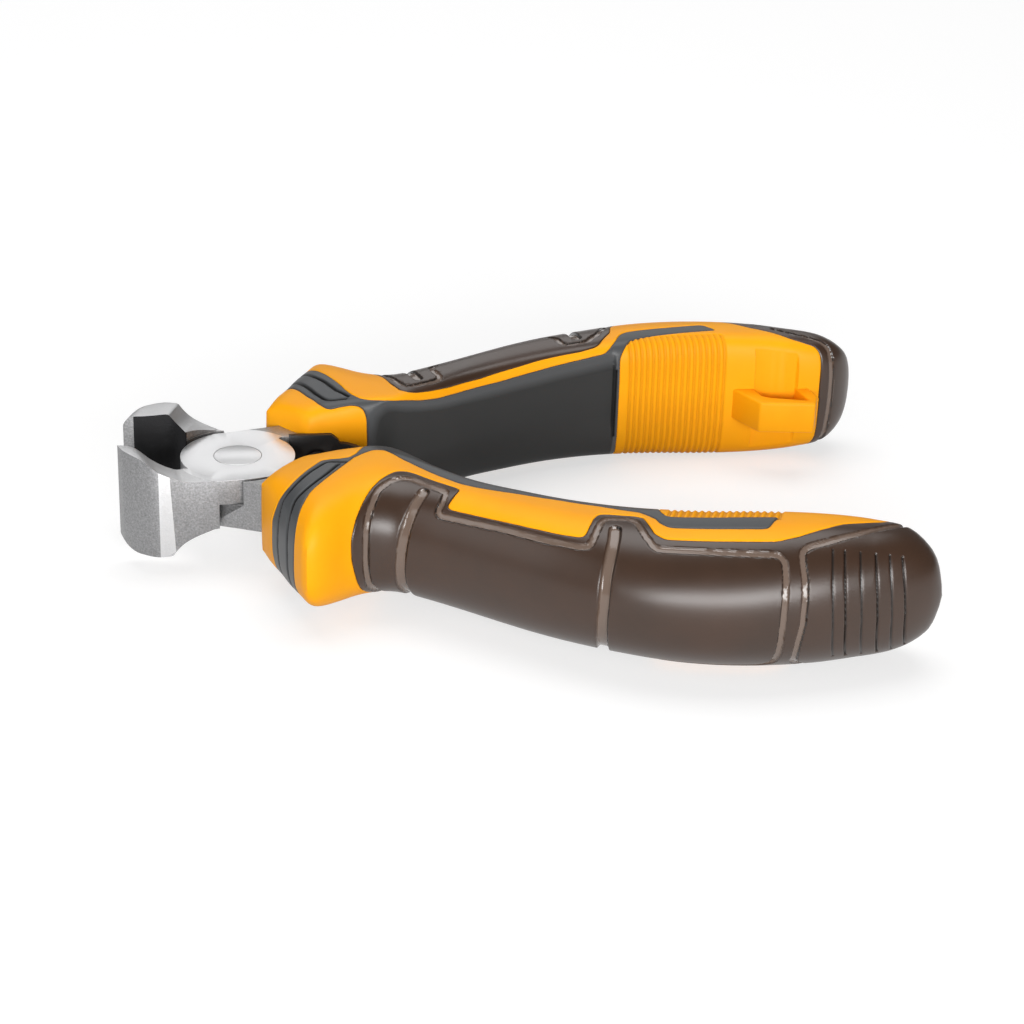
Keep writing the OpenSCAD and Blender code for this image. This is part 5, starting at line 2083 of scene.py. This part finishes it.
@dataclass
class Nippers:
    """The whole tool: both levers, the rivet, the springs and the grips."""

    core_budget: int = 180000
    skin_budget: int = 190000

    def __post_init__(self) -> None:
        """Prepares the form, the finishes and the shared meshes."""
        effects = Effects()
        self.yellow, self.brown = YELLOW.make(effects), BROWN.make(effects)
        self.grey, self.steel = GREY.make(effects), STEEL.make(effects)
        self.black = SPRING.make(effects)
        self.form = GripForm()
        self.surface = GripSurface(self.form)
        self.pattern = GripPattern(self.surface)
        self.meshes = {
            layer: GripMeshes(self.surface, self.pattern, LoopSizes(), layer)
            for layer in ("outer", "inner", "core")}

    def place(
        self, obj: bpy.types.Object, half: Half, node: str, slot: str, material: bpy.types.Material,
    ) -> None:
        """Dresses a piece, ties it to its body and hides the CAD node that it stands for.

        Args:
            obj: The piece.
            half: Its half of the tool.
            node: CAD node that it stands for.
            slot: Material slot of the record. Not used.
            material: Its finish.
        """
        dress(obj, material)
        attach(obj, half.value)
        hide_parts(node)
        LOG.info("%s: %d faces", obj.name, len(obj.data.polygons))

    def grips(self) -> None:
        """Builds the three layers of both grips."""
        outer, inner = self.meshes["outer"].skin(), self.meshes["inner"].skin()
        cores = self.meshes["core"].cores()
        for half, word in ((Half.FAR, "far"), (Half.NEAR, "near")):
            body = cores[half].build(f"{word}_core", half, self.core_budget)
            if half is Half.FAR:
                loop = CordLoop(self.surface, LoopSizes()).build("cord_loop", half)
                only(body)
                loop.select_set(True)
                bpy.ops.object.join()
            self.place(body, half, f"{word}_grip_core", "yellow_plastic", self.yellow)
            cover = outer.build(f"{word}_outer", half, self.skin_budget)
            self.place(cover, half, f"{word}_outer_skin", "brown_rubber", self.brown)
            lining = inner.build(f"{word}_inner", half, self.skin_budget)
            self.place(lining, half, f"{word}_inner_skin", "grey_rubber", self.grey)

    def metal(self) -> None:
        """Builds the levers, the rivets and the springs."""
        for half, word in ((Half.FAR, "upper"), (Half.NEAR, "lower")):
            lever = Lever().build(f"{word}_forging", half, self.form)
            self.place(lever, half, f"{word}_lever", "steel", self.steel)
            spring = LeafSpring()
            leaf = spring.build(f"{word}_leaf", half, self.form)
            dress(leaf, self.black)
            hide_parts(f"{word}_leaf_spring")
            start, end = spring.bend_points(half, self.form)
            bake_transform(leaf)
            LOG.info("%s: %d faces", leaf.name, len(leaf.data.polygons))
            rivet = SpringRivet().build(f"{word}_leaf_rivet", half, self.form)
            self.place(rivet, half, f"{word}_spring_rivet", "spring_steel", self.black)
        pivot = PivotRivet().build("joint_rivet")
        self.place(pivot, Half.FAR, "pivot_rivet", "rivet_steel", self.steel)


def main() -> None:
    """Builds the tool and the studio."""
    logging.basicConfig(level=logging.INFO, format="%(name)s: %(message)s")
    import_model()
    bpy.ops.object.select_all(action="DESELECT")
    bpy.context.scene.view_settings.view_transform = "Standard"
    studio = Studio()
    studio.camera()
    tool = Nippers()
    tool.metal()
    tool.grips()
    studio.lights()
    studio.world()
    studio.floor()
    bpy.ops.object.select_all(action="DESELECT")


if __name__ == "__main__":
    main()
